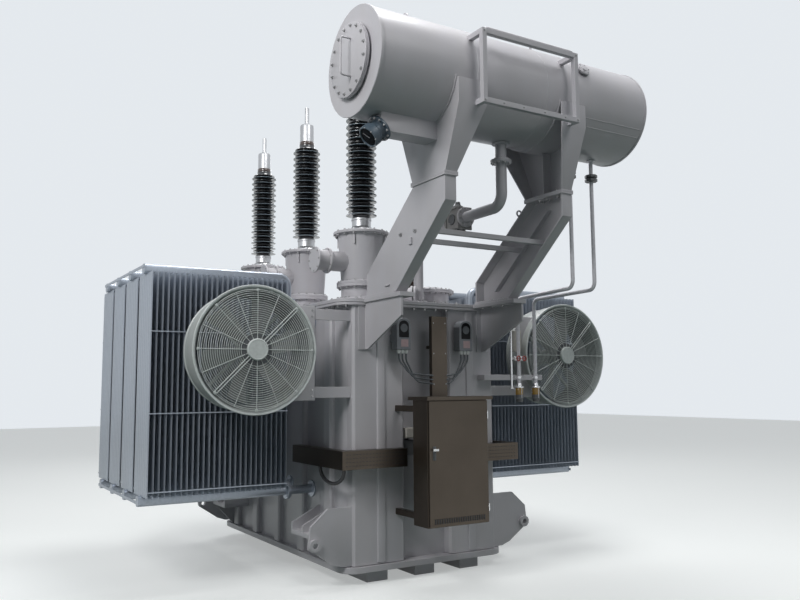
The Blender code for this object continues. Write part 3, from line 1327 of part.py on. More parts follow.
def cabinet(steel):
    """Control cabinet shell, open at the front, with a lid and two carrying arms."""
    back_y = CABINET_FRONT + CABINET_DEPTH
    front_y = CABINET_FRONT + DOOR_THICKNESS + GAP
    outer = block((CABINET_LEFT, CABINET_RIGHT), (front_y, back_y), (CABINET_LOW, CABINET_HIGH))
    hollow = block(
        (CABINET_LEFT + CABINET_WALL, CABINET_RIGHT - CABINET_WALL),
        (front_y - OVERRUN, back_y - CABINET_WALL),
        (CABINET_LOW + CABINET_WALL, CABINET_HIGH - CABINET_WALL),
    )
    shapes = [outer]
    for x in (CABINET_LEFT + SEAT, CABINET_RIGHT - SEAT - CABINET_ARM):
        for z in (CABINET_LOW + CABINET_ARM, CABINET_HIGH - 2 * CABINET_ARM):
            shapes.append(block(
                (x, x + CABINET_ARM), (back_y - SEAT, COLUMN_FACE_Y - GAP), (z, z + CABINET_ARM)
            ))
    shapes.append(block(
        (CABINET_LEFT - CABINET_LID_PROUD, CABINET_RIGHT + CABINET_LID_PROUD),
        (CABINET_FRONT - CABINET_LID_PROUD, back_y + CABINET_LID_PROUD),
        (CABINET_HIGH - SEAT, CABINET_HIGH + CABINET_LID),
    ))
    fused("cabinet_body", shapes, steel, [hollow])


def cabinet_door(steel):
    """Door with a handle at its left edge; its origin is on the hinge axis at the right."""
    y0 = CABINET_FRONT
    left, right = CABINET_LEFT + DOOR_MARGIN, CABINET_RIGHT - DOOR_MARGIN
    low, high = CABINET_LOW + DOOR_MARGIN, CABINET_HIGH - SEAT - DOOR_MARGIN
    panel = block((left, right), (y0, y0 + DOOR_THICKNESS), (low, high))
    handle = block(
        (left + DOOR_HANDLE_INSET - DOOR_HANDLE_WIDTH / 2, left + DOOR_HANDLE_INSET + DOOR_HANDLE_WIDTH / 2),
        (y0 - DOOR_HANDLE_PROUD, y0 + SEAT),
        (DOOR_HANDLE_Z, DOOR_HANDLE_Z + DOOR_HANDLE_HEIGHT),
    )
    fused("cabinet_door", [panel, handle], steel, origin=(right, y0, (low + high) / 2))


def cable_riser(steel):
    """Vertical cable duct on the end wall."""
    x0, x1 = RISER_CENTRE_X - RISER_WIDTH / 2, RISER_CENTRE_X + RISER_WIDTH / 2
    face_y = COLUMN_FACE_Y - RISER_FIXING
    duct = block((x0, x1), (face_y - RISER_DEPTH, face_y), (RISER_LOW, RISER_HIGH))
    foot = block(
        (RISER_CENTRE_X - RISER_FIXING, RISER_CENTRE_X + RISER_FIXING), (face_y - SEAT, TANK_END_Y - GAP),
        (RISER_HIGH - 2 * RISER_WIDTH, RISER_HIGH - RISER_WIDTH),
    )
    fused("cable_riser", [duct, foot], steel)


def cable_trays(steel):
    """Closed cable ducts that run round the two front corners of the tank."""
    low, high = TRAY_Z - TRAY_HEIGHT / 2, TRAY_Z + TRAY_HEIGHT / 2
    outer = TRAY_OUTER_X
    front = TRAY_FRONT_Y
    for name, side in (("left", -1), ("right", 1)):
        run = block((TRAY_MIDDLE_X, outer), (front, front + TRAY_DEPTH), (low, high))
        branch = block(
            (outer - TRAY_SIDE_DEPTH, outer), (front + SEAT, TRAY_SIDE_END_Y), (low + GAP, high - GAP)
        )
        stay_front = block(
            (COLUMN_OUTER_X - 2 * TRAY_FIXING, COLUMN_OUTER_X - TRAY_FIXING),
            (front + TRAY_DEPTH - SEAT, COLUMN_FACE_Y - GAP), (low + SEAT, low + TRAY_FIXING),
        )
        stay_side = block(
            (TANK_SIDE_X + GAP, outer - TRAY_SIDE_DEPTH + SEAT),
            (TRAY_STAY_Y - TRAY_FIXING, TRAY_STAY_Y), (low + SEAT, low + TRAY_FIXING),
        )
        shapes = [on_side(s, side) for s in (run, branch, stay_front, stay_side)]
        fused(f"cable_tray_{name}", shapes, steel)


def temperature_gauges(dark):
    """Two gauge cases with arched tops, held off the end columns."""
    for name, side in (("left", -1), ("right", 1)):
        x = GAUGE_BOX_SHIFT + side * GAUGE_BOX_SPREAD / 2
        back = COLUMN_FACE_Y - GAUGE_BOX_FIXING
        case = block(
            (x - GAUGE_BOX_WIDTH / 2, x + GAUGE_BOX_WIDTH / 2), (back - GAUGE_BOX_DEPTH, back),
            (GAUGE_BOX_LOW, GAUGE_BOX_LOW + GAUGE_BOX_HEIGHT),
        )
        top = [
            e for e in case.edges
            if abs(e.verts[0].co.y - e.verts[1].co.y) > GAP
            and min(v.co.z for v in e.verts) > GAUGE_BOX_LOW + GAUGE_BOX_HEIGHT / 2
        ]
        bmesh.ops.bevel(
            case, geom=top, offset=GAUGE_BOX_ROUND, segments=3, profile=ROUND_PROFILE,
            affect="EDGES", material=-1,
        )
        stand = block(
            (x, x + side * GAUGE_BOX_WIDTH / 2), (back - SEAT, COLUMN_FACE_Y - GAP),
            (GAUGE_BOX_LOW + GAUGE_BOX_HEIGHT / 4, GAUGE_BOX_LOW + GAUGE_BOX_HEIGHT / 2),
        )
        fused(f"temperature_gauge_{name}", [case, stand], dark)


def breathers(paint):
    """Two breather pipes from the conservator, each with a desiccant jar, and their rail."""
    for name, x_top, x_low in zip(("inner", "outer"), BREATHER_TOP_XS, BREATHER_XS):
        top = CONSERVATOR_Z - CONSERVATOR_RADIUS - GAP
        route = [
            (x_top, CONSERVATOR_Y, top), (x_top, CONSERVATOR_Y, BREATHER_TURN_Z),
            (x_low, BREATHER_Y, BREATHER_TURN_Z), (x_low, BREATHER_Y, BREATHER_PIPE_END),
        ]
        line = pipe(route, BREATHER_PIPE_RADIUS, BREATHER_PIPE_BEND, SMALL_SIDES)
        union = disc(
            (x_top, CONSERVATOR_Y, BREATHER_UNION_Z), (0, 0, 1), BREATHER_UNION_RADIUS,
            BREATHER_UNION, SMALL_SIDES,
        )
        jar = disc(
            (x_low, BREATHER_Y, BREATHER_LOW), (0, 0, 1), BREATHER_RADIUS,
            BREATHER_PIPE_END + SEAT - BREATHER_LOW, PIPE_SIDES,
        )
        fused(f"breather_pipe_{name}", [line, union, jar], paint)
    rail_y = BREATHER_Y + BREATHER_PIPE_RADIUS + GAP
    rail = block(
        (RAIL_LEFT, RAIL_RIGHT), (rail_y, rail_y + RAIL_THICKNESS), (RAIL_Z, RAIL_Z + RAIL_HEIGHT)
    )
    stand = block(
        (RAIL_LEFT, COLUMN_OUTER_X - COLUMN_ROUND), (rail_y + SEAT, COLUMN_FACE_Y - GAP),
        (RAIL_Z, RAIL_Z + RAIL_HEIGHT),
    )
    fused("breather_rail", [rail, stand], paint)


def main():
    clear_scene()
    paint = material("grey_paint", (0.55, 0.56, 0.58), 0.38)
    fin_paint = material("radiator_paint", (0.42, 0.45, 0.50), 0.32)
    steel = material("stainless_steel", (0.42, 0.38, 0.34), 0.34, 1.0)
    glaze = material("black_glaze", (0.02, 0.02, 0.022), 0.12)
    dark = material("dark_housing", (0.16, 0.17, 0.18), 0.45)
    wire = material("guard_wire", (0.55, 0.58, 0.60), 0.3, 0.6)
    base(paint)
    tank(paint)
    cover(paint)
    brackets(paint)
    lower_legs(paint)
    upper_legs(paint)
    braces(paint)
    conservator(paint)
    conservator_frame(paint)
    level_gauge(paint)
    oil_pipe(paint, dark)
    for i in range(PHASE_COUNT):
        y = (i - (PHASE_COUNT - 1) / 2) * PHASE_PITCH
        turret(i + 1, y, paint)
        bushing(i + 1, y, glaze)
    low_voltage_row(glaze)
    tap_changer(paint)
    radiators(fin_paint)
    for name, side in (("left", -1), ("right", 1)):
        fan_shroud(name, side, paint)
        fan_guard(name, side, wire)
        fan_rotor(name, side, paint)
        fan_bracket(name, side, paint)
    cabinet(steel)
    cabinet_door(steel)
    cable_riser(steel)
    cable_trays(steel)
    temperature_gauges(dark)
    breathers(paint)


main()
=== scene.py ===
from math import cos, pi, radians, sin, tan

import bmesh
import bpy
from bpy.props import FloatProperty, FloatVectorProperty, IntProperty, PointerProperty
from mathutils import Matrix, Vector


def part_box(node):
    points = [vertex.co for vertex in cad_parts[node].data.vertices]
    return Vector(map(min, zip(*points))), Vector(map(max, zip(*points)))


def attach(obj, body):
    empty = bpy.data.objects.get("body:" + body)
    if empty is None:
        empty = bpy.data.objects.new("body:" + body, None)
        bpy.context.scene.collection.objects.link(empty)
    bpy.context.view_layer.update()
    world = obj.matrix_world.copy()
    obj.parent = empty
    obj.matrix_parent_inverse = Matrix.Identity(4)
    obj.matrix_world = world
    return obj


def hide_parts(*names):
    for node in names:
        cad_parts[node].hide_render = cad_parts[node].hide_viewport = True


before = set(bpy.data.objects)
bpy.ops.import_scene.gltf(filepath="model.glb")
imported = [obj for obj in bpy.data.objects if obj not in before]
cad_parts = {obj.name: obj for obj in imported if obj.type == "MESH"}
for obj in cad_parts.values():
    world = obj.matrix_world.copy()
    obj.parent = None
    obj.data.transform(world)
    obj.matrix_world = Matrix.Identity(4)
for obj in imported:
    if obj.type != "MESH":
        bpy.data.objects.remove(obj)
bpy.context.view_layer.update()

bl_info = {
    "name": "Power transformer look",
    "version": (1, 0, 0),
    "blender": (4, 5, 0),
    "location": "3D View > Sidebar > Transformer",
    "description": "Detailed pieces and finishes for an oil-filled power transformer",
    "category": "Object",
}

X_AXIS = Vector((1, 0, 0))
Y_AXIS = Vector((0, 1, 0))
Z_AXIS = Vector((0, 0, 1))
SIDES = (("left", -1), ("right", 1))

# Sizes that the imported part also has
TURRET_TOP_RADIUS = 0.25
HV_X = -0.50
HV_PITCH = 1.17
FIN_COUNT = 27
FIN_PITCH = 0.0445
FIN_THICKNESS = 0.012
FIN_WIDTH = 0.43
FIN_LOW = 0.755
FIN_HIGH = 2.545
HEADER = 0.085
RADIATOR_INNER_X = 1.10
MOTOR_FRONT = -1.292
GAUGE_TILT = radians(41.0)
GAUGE_FLANGE_SPOT = Vector((-1.0610, -2.4825, 3.4715))
PORT_Z = 2.70
PORT_RING_X = -0.848
TANK_WALL_X = 0.7601
NECK_Z = 2.20
NECK_FLANGE_Z = 2.365
TIE_HEIGHTS = (2.06, 1.41, 0.80)
END_WALL_Y = -1.3496
OIL_FLANGE_Z = 3.38
FLANGE_RADIUS = 0.085
BREATHER_RADIUS = 0.017
BREATHER_TURN_Z = 2.42
BREATHER_END_Z = 1.63
UNION_Z = 3.355
DRAIN_X = 0.868
VALVE_Z = 1.86
GUARD_FIRST = 0.130
GUARD_LAST = 0.455
GUARD_EDGE = 0.4665
BLADE_ROOT = 0.07
BLADE_TIP = 0.404
BLADE_COUNT = 6
LEG_STUDS = ((-2.04, 2.80), (-2.25, 2.795))


# Node materials

class Value:
    """One output of a material's nodes, used in sums as a number is."""

    def __init__(self, recipe, socket):
        self.recipe = recipe
        self.socket = socket

    def sum_with(self, operation, other, swapped=False):
        pair = (other, self) if swapped else (self, other)
        return self.recipe.node("ShaderNodeMath", dict(enumerate(pair)), operation=operation)

    def __add__(self, other):
        return self.sum_with("ADD", other)

    __radd__ = __add__

    def __sub__(self, other):
        return self.sum_with("SUBTRACT", other)

    def __rsub__(self, other):
        return self.sum_with("SUBTRACT", other, True)

    def __mul__(self, other):
        return self.sum_with("MULTIPLY", other)

    __rmul__ = __mul__


class Recipe:
    """A Principled material, or a world's light, whose nodes are made by one method."""

    def __init__(self, name, world=None, **fixed):
        if world:
            self.tree = world.node_tree
            self.shader = self.tree.nodes["Background"]
            return
        self.material = bpy.data.materials.new(name)
        self.material.use_nodes = True
        self.tree = self.material.node_tree
        self.shader = self.tree.nodes["Principled BSDF"]
        for socket, value in fixed.items():
            self.feed(socket.title(), value)
        self.place = self.node("ShaderNodeTexCoord", output="Object")

    def node(self, kind, values=(), output=0, stops=(), **settings):
        """Add a node, set it up, feed its sockets and return one of its outputs."""
        made = self.tree.nodes.new(kind)
        for key, value in settings.items():
            setattr(made, key, value)
        for index, (place, colour) in enumerate(stops):
            if index > 1:
                made.color_ramp.elements.new(place)
            made.color_ramp.elements[index].position = place
            made.color_ramp.elements[index].color = colour
        for key, value in dict(values).items():
            self.connect(made.inputs[key], value)
        return Value(self, made.outputs[output])

    def connect(self, socket, value):
        if isinstance(value, Value):
            self.tree.links.new(value.socket, socket)
            return
        if socket.type == "RGBA" and len(value) == 3:
            value = (*value, 1.0)
        socket.default_value = value

    def feed(self, name, value):
        self.connect(self.shader.inputs[name], value)

    def noise(self, scale, detail=3.0, stretch=(1, 1, 1), roughness=0.5):
        """Cloudy values from 0 to 1, with their pattern stretched along the axes."""
        place = self.node("ShaderNodeMapping", {"Vector": self.place, "Scale": stretch})
        return self.node(
            "ShaderNodeTexNoise",
            {"Vector": place, "Scale": scale, "Detail": detail, "Roughness": roughness},
            output="Fac",
        )

    def between(self, low, high, share, steep=1.0):
        """Map a value onto a range, kept inside it."""
        spread = 0.5 / steep
        return self.node("ShaderNodeMapRange", {
            "Value": share, "From Min": 0.5 - spread, "From Max": 0.5 + spread,
            "To Min": low, "To Max": high,
        })

    def mixed(self, first, second, share):
        """Blend two colours by a value."""
        values = {0: share, 6: first, 7: second}
        return self.node("ShaderNodeMix", values, output=2, data_type="RGBA")

    def seen(self):
        """1 for the camera, for gloss and through glass, and 0 for the light that spreads."""
        paths = [
            self.node("ShaderNodeLightPath", output=f"Is {kind} Ray")
            for kind in ("Camera", "Glossy", "Transmission")
        ]
        return self.node(
            "ShaderNodeMath", {0: paths[0] + paths[1], 1: paths[2]}, operation="ADD",
            use_clamp=True,
        )

    def bump(self, height, strength, distance, below=None):
        """Raise the surface by a height value."""
        values = {"Height": height, "Strength": strength, "Distance": distance}
        if below:
            values["Normal"] = below
        return self.node("ShaderNodeBump", values, output="Normal")


def tone(colour, amount):
    """The same colour made lighter or darker."""
    return tuple(min(1.0, part * amount) for part in colour)


def paint(name, colour, roughness, dust=0.35, wave=0.0012):
    """Sprayed machine paint on welded plate, with faint clouds, dust and an uneven surface."""
    recipe = Recipe(name)
    cloud = recipe.noise(1.7, 4.0)
    streak = recipe.noise(6.0, 3.0, (1, 1, 0.12))
    fleck = recipe.noise(45.0, 2.0)
    base = recipe.mixed(tone(colour, 0.93), tone(colour, 1.05), recipe.between(0, 1, cloud, 2.0))
    dusty = recipe.between(0, dust, streak, 2.5)
    warm = tuple(part * w for part, w in zip(colour, (1.02, 0.99, 0.94)))
    base = recipe.mixed(base, tone(warm, 0.9), dusty)
    recipe.feed("Base Color", base)
    rough = recipe.between(roughness - 0.06, roughness + 0.1, cloud, 1.8) + 0.05 * fleck
    recipe.feed("Roughness", rough)
    uneven = recipe.bump(recipe.noise(7.0, 2.0), 0.6, wave)
    recipe.feed("Normal", recipe.bump(recipe.noise(320.0, 2.0), 0.25, 0.0006, uneven))
    recipe.shader.inputs["Coat Weight"].default_value = 0.12
    recipe.shader.inputs["Coat Roughness"].default_value = 0.18


def metal(name, colour, roughness, stretch=(1, 1, 1), scale=60.0, grain=0.12, depth=0.5):
    """Bare metal with a grain along one direction."""
    recipe = Recipe(name, metallic=1.0)
    lines = recipe.noise(scale, 4.0, stretch)
    cloud = recipe.noise(3.0, 3.0)
    base = recipe.mixed(tone(colour, 0.82), tone(colour, 1.1), recipe.between(0, 1, cloud, 1.6))
    recipe.feed(
        "Base Color", recipe.mixed(base, tone(colour, 0.7), recipe.between(0, depth, lines, 2.0)),
    )
    recipe.feed("Roughness", recipe.between(roughness - grain, roughness + grain, lines, 1.5))
    recipe.feed("Normal", recipe.bump(lines, 0.3, 0.0004))


def zinc(name, colour):
    """Galvanised sheet with tall clouds, fine spangle and a little dust."""
    recipe = Recipe(name)
    cloud = recipe.noise(2.2, 4.0, (1, 1, 0.35))
    spangle = recipe.noise(70.0, 2.0, (1, 1, 0.5))
    base = recipe.mixed(tone(colour, 0.84), tone(colour, 1.08), recipe.between(0, 1, cloud, 2.0))
    recipe.feed(
        "Base Color", recipe.mixed(base, tone(colour, 0.72), recipe.between(0, 0.35, spangle, 2.5)),
    )
    recipe.feed("Metallic", recipe.between(0.50, 0.66, cloud))
    recipe.feed("Roughness", recipe.between(0.26, 0.42, cloud, 2.0) + 0.06 * spangle)
    recipe.feed("Normal", recipe.bump(spangle, 0.2, 0.0004))


def glaze(name, colour, roughness):
    """Glossy dark sheds with a film of dust."""
    recipe = Recipe(name)
    cloud = recipe.noise(9.0, 4.0)
    base = recipe.mixed(colour, tone(colour, 3.0), recipe.between(0, 0.6, cloud, 2.2))
    recipe.feed("Base Color", base)
    recipe.feed("Roughness", recipe.between(roughness, roughness + 0.14, cloud, 2.0))
    recipe.shader.inputs["Coat Weight"].default_value = 1.0
    recipe.shader.inputs["Coat Roughness"].default_value = 0.05
    return recipe, base


def bushing_glaze(name, colour):
    """The same glaze with a painted highlight, pale blue, on the sheds' rims, by the distance from
    each bushing's own axis.
    """
    recipe, base = glaze(name, colour, 0.08)
    apart = {
        axis: recipe.node("ShaderNodeSeparateXYZ", {"Vector": recipe.place}, output=axis)
        for axis in "XY"
    }
    across = apart["X"] - HV_X
    near = recipe.node(
        "ShaderNodeMath", {0: apart["Y"], 1: HV_PITCH / 2, 2: -HV_PITCH / 2}, operation="WRAP",
    )
    reach = recipe.node(
        "ShaderNodeMath", {0: across * across + near * near, 1: 0.5}, operation="POWER",
    )
    # Painted highlight: the sheds' rims are blended towards pale blue, a reflection painted into
    # the colour
    rim = recipe.node("ShaderNodeMapRange", {"Value": reach, "From Min": 0.118, "From Max": 0.136})
    recipe.feed("Base Color", recipe.mixed(base, (0.34, 0.42, 0.48), rim * 0.75))


def plain(name, colour, roughness, gloss=0.5):
    """Small fittings with a little variation in tone."""
    recipe = Recipe(name)
    recipe.shader.inputs["Specular IOR Level"].default_value = gloss
    cloud = recipe.noise(40.0, 3.0)
    recipe.feed("Base Color", recipe.mixed(tone(colour, 0.8), tone(colour, 1.15), cloud))
    recipe.feed("Roughness", recipe.between(roughness - 0.05, roughness + 0.1, cloud))
    recipe.feed("Normal", recipe.bump(recipe.noise(200.0), 0.2, 0.0003))


# Shapes

def cube(bm, low, high, turn=None):
    """Add a box between two corners."""
    size = [b - a for a, b in zip(low, high)]
    centre = Vector([(a + b) / 2 for a, b in zip(low, high)])
    matrix = Matrix.Translation(centre) @ Matrix.Diagonal((*size, 1.0))
    if turn:
        matrix = turn @ matrix
    return bmesh.ops.create_cube(bm, size=1.0, matrix=matrix)["verts"]


def along(centre, axis):
    """A placing that turns +Z to an axis at a centre."""
    return Matrix.Translation(centre) @ Vector(axis).to_track_quat("Z", "Y").to_matrix().to_4x4()


def rod(bm, start, end, radius, steps=24, tip=None):
    """Add a round bar or cone from one point to another."""
    start, end = Vector(start), Vector(end)
    depth = (end - start).length
    matrix = along((start + end) / 2, end - start)
    return bmesh.ops.create_cone(
        bm, cap_ends=True, segments=steps, radius1=radius, radius2=radius if tip is None else tip,
        depth=depth, matrix=matrix,
    )["verts"]


def lathe(bm, profile, centre, axis, steps=64):
    """Add a turned shape from (radius, height) points, closed at its axis or as a ring."""
    part = bmesh.new()
    verts = [part.verts.new((r, 0, h)) for r, h in profile]
    edges = [part.edges.new(pair) for pair in zip(verts, verts[1:])]
    if profile[0][0] > 0 and profile[-1][0] > 0:
        edges.append(part.edges.new((verts[-1], verts[0])))
    bmesh.ops.spin(
        part, geom=verts + edges, cent=(0, 0, 0), axis=Z_AXIS, angle=2 * pi, steps=steps,
        use_merge=True
    )
    bmesh.ops.remove_doubles(part, verts=part.verts, dist=0.00001)
    bmesh.ops.recalc_face_normals(part, faces=part.faces)
    bmesh.ops.transform(part, matrix=along(centre, axis), verts=part.verts)
    join(bm, part)


def join(bm, part, matrix=None):
    """Add one shape to another and free it."""
    if matrix:
        bmesh.ops.transform(part, matrix=matrix, verts=part.verts)
        if matrix.determinant() < 0:
            bmesh.ops.reverse_faces(part, faces=part.faces)
    mesh = bpy.data.meshes.new("part")
    part.to_mesh(mesh)
    part.free()
    bm.from_mesh(mesh)
    bpy.data.meshes.remove(mesh)


def copies(bm, template, matrices):
    """Add a shape once for each placing, and free it."""
    mesh = bpy.data.meshes.new("template")
    template.to_mesh(mesh)
    template.free()
    for matrix in matrices:
        part = bmesh.new()
        part.from_mesh(mesh)
        join(bm, part, matrix)
    bpy.data.meshes.remove(mesh)


def tube(bm, points, radius, bend, sides=16, steps=8):
    """Add a round pipe along straight runs that are joined by bends."""
    points = [Vector(p) for p in points]
    part = bmesh.new()
    ahead = (points[1] - points[0]).normalized()
    matrix = Matrix.Translation(points[0]) @ ahead.to_track_quat("Z", "Y").to_matrix().to_4x4()
    bmesh.ops.create_circle(part, cap_ends=True, segments=sides, radius=radius, matrix=matrix)
    part.faces.ensure_lookup_table()
    end = part.faces[0]
    first = True
    here = points[0]
    for i in range(1, len(points)):
        corner = points[i]
        last = i == len(points) - 1
        if not last:
            after = (points[i + 1] - corner).normalized()
            angle = ahead.angle(after)
            trim = bend * tan(angle / 2)
        stop = corner if last else corner - ahead * trim
        moved, end = drawn_out(part, end, first)
        first = False
        bmesh.ops.translate(part, verts=moved, vec=stop - here)
        if last:
            break
        normal = ahead.cross(after).normalized()
        middle = stop + normal.cross(ahead) * bend
        for _ in range(steps):
            moved, end = drawn_out(part, end, False)
            bmesh.ops.rotate(
                part, verts=moved, cent=middle, matrix=Matrix.Rotation(angle / steps, 3, normal),
            )
        here = corner + after * trim
        ahead = after
    bmesh.ops.recalc_face_normals(part, faces=part.faces)
    join(bm, part)


def drawn_out(part, face, keep):
    """Extrude a face and drop the one it starts from, unless it closes the pipe."""
    made = bmesh.ops.extrude_face_region(part, geom=[face])["geom"]
    if not keep and face.is_valid:
        bmesh.ops.delete(part, geom=[face], context="FACES_ONLY")
    moved = [item for item in made if isinstance(item, bmesh.types.BMVert)]
    return moved, [item for item in made if isinstance(item, bmesh.types.BMFace)][0]


def bolt_heads(bm, size, places):
    """Add a hexagon head with a washer and a stud end, along +Z of each placing."""
    head = bmesh.new()
    for low, high, radius, sides in (
        (-0.1, 0.18, 1.15, 12), (0.1, 0.85, 0.86, 6), (0.8, 1.25, 0.45, 8),
    ):
        rod(head, (0, 0, low * size), (0, 0, high * size), radius * size, sides)
    copies(bm, head, places)


def edges_along(bm, axis):
    """The edges that run along an axis."""
    return [
        e for e in bm.edges if abs((e.verts[1].co - e.verts[0].co).normalized().dot(axis)) > 0.9
    ]


def rounded(bm, edges, radius, segments):
    """Round some edges of a shape."""
    bmesh.ops.bevel(
        bm, geom=edges, offset=radius, segments=segments, profile=0.5, affect="EDGES", material=-1
    )


def ring_places(centre, axis, radius, count, turn=0.0):
    """Placings round a circle, each with +Z along the axis."""
    stand = along(centre, axis)
    out = Matrix.Translation((radius, 0, 0))
    return [
        stand @ Matrix.Rotation(turn + 2 * pi * i / count, 4, "Z") @ out for i in range(count)
    ]


def row_places(start, end, count, axis):
    """Placings in a straight row, each with +Z along the axis."""
    start, end = Vector(start), Vector(end)
    return [along(start.lerp(end, i / (count - 1)), axis) for i in range(count)]


def row_heights(start, end, count):
    """Evenly spaced heights, both ends among them."""
    return [start + (end - start) * i / (count - 1) for i in range(count)]


def piece(name, bm, finish, body="root", replaces=(), bevel=0.0, smooth=35.0, slot=None):
    """Make a finished piece from a shape; it rides on a body and may stand for CAD nodes."""
    mesh = bpy.data.meshes.new(name)
    bm.to_mesh(mesh)
    bm.free()
    made = bpy.data.objects.new(name, mesh)
    bpy.context.scene.collection.objects.link(made)
    mesh.materials.append(bpy.data.materials[finish])
    mesh.shade_smooth()
    mesh.set_sharp_from_angle(angle=radians(smooth))
    if bevel:
        edge = made.modifiers.new("Rounded edges", "BEVEL")
        edge.width = bevel
        edge.segments = 2
        edge.limit_method = "ANGLE"
        edge.angle_limit = radians(40.0)
        edge.harden_normals = True
    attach(made, body)
    if replaces:
        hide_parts(*replaces)


def turned(name, finish, profile, centre, axis, steps, **more):
    """Make a finished piece from one turned shape."""
    bm = bmesh.new()
    lathe(bm, profile, centre, axis, steps)
    piece(name, bm, finish, **more)


def bolted(name, groups):
    """Make a piece of bolts from pairs of a size and its placings."""
    bm = bmesh.new()
    for size, places in groups:
        bolt_heads(bm, size, places)
    piece(name, bm, "bolt_steel")


def node_shape(node):
    """A copy of a CAD node's shape with its loose triangles joined and its flat faces merged."""
    bm = bmesh.new()
    bm.from_mesh(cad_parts[node].data)
    bmesh.ops.remove_doubles(bm, verts=bm.verts, dist=0.00005)
    bmesh.ops.dissolve_limit(bm, angle_limit=radians(0.5), verts=bm.verts, edges=bm.edges)
    return bm


def middle(node):
    """The centre of a CAD node's box."""
    low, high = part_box(node)
    return (low + high) / 2


# Settings that a user would change

class TransformerColours(bpy.types.PropertyGroup):
    """Colours of the finishes."""

    tank: FloatVectorProperty(
        name="Tank paint", description="Paint of the tank, legs and conservator",
        subtype="COLOR", default=(0.53, 0.52, 0.55), min=0, max=1,
    )
    fins: FloatVectorProperty(
        name="Radiator steel", description="Galvanised steel of the radiators",
        subtype="COLOR", default=(0.42, 0.46, 0.52), min=0, max=1,
    )
    fans: FloatVectorProperty(
        name="Fan paint", description="Paint of the fan shrouds and rotors",
        subtype="COLOR", default=(0.48, 0.51, 0.50), min=0, max=1,
    )
    sheds: FloatVectorProperty(
        name="Sheds", description="Glaze of the bushing sheds",
        subtype="COLOR", default=(0.012, 0.012, 0.014), min=0, max=1,
    )
    steel: FloatVectorProperty(
        name="Cabinet steel", description="Brushed steel of the cabinet and cable ducts",
        subtype="COLOR", default=(0.096, 0.080, 0.065), min=0, max=1,
    )


class TransformerStage(bpy.types.PropertyGroup):
    """Camera."""

    camera: FloatVectorProperty(
        name="Camera", description="Place of the camera", subtype="TRANSLATION", unit="LENGTH",
        default=(-3.867, -7.332, 1.600),
    )
    heading: FloatProperty(
        name="Heading", description="Camera's turn from +Y towards +X", subtype="ANGLE",
        default=radians(31.43),
    )
    pitch: FloatProperty(
        name="Pitch", description="Camera's tilt above the level", subtype="ANGLE",
        default=radians(6.267)
    )
    roll: FloatProperty(
        name="Roll", description="Camera's roll", subtype="ANGLE", default=-0.00745
    )
    lens: FloatProperty(
        name="Lens", description="Focal length on a sensor 36 mm wide", default=35.87, min=1
    )


class TransformerSizes(bpy.types.PropertyGroup):
    """Sizes of the small parts."""

    plate_edge: FloatProperty(
        name="Plate edge", description="Rounding of plate edges", unit="LENGTH", default=0.003,
        min=0
    )
    guard_rings: IntProperty(
        name="Guard rings", description="Wire rings in a fan guard", default=20, min=2
    )
    guard_spokes: IntProperty(
        name="Guard spokes", description="Wire spokes in a fan guard", default=16, min=3
    )
    guard_wire: FloatProperty(
        name="Guard wire", description="Radius of the guard's wire", unit="LENGTH", default=0.0025,
        min=0.0005
    )
    sheds: IntProperty(
        name="Sheds", description="Pairs of large and small sheds on a bushing", default=15, min=1
    )
    flutes: IntProperty(
        name="Flutes", description="Oil channels in a radiator fin", default=7, min=1
    )


def settings():
    """The three groups of settings of the scene."""
    scene = bpy.context.scene
    return scene.transformer_colours, scene.transformer_stage, scene.transformer_sizes


# Operators

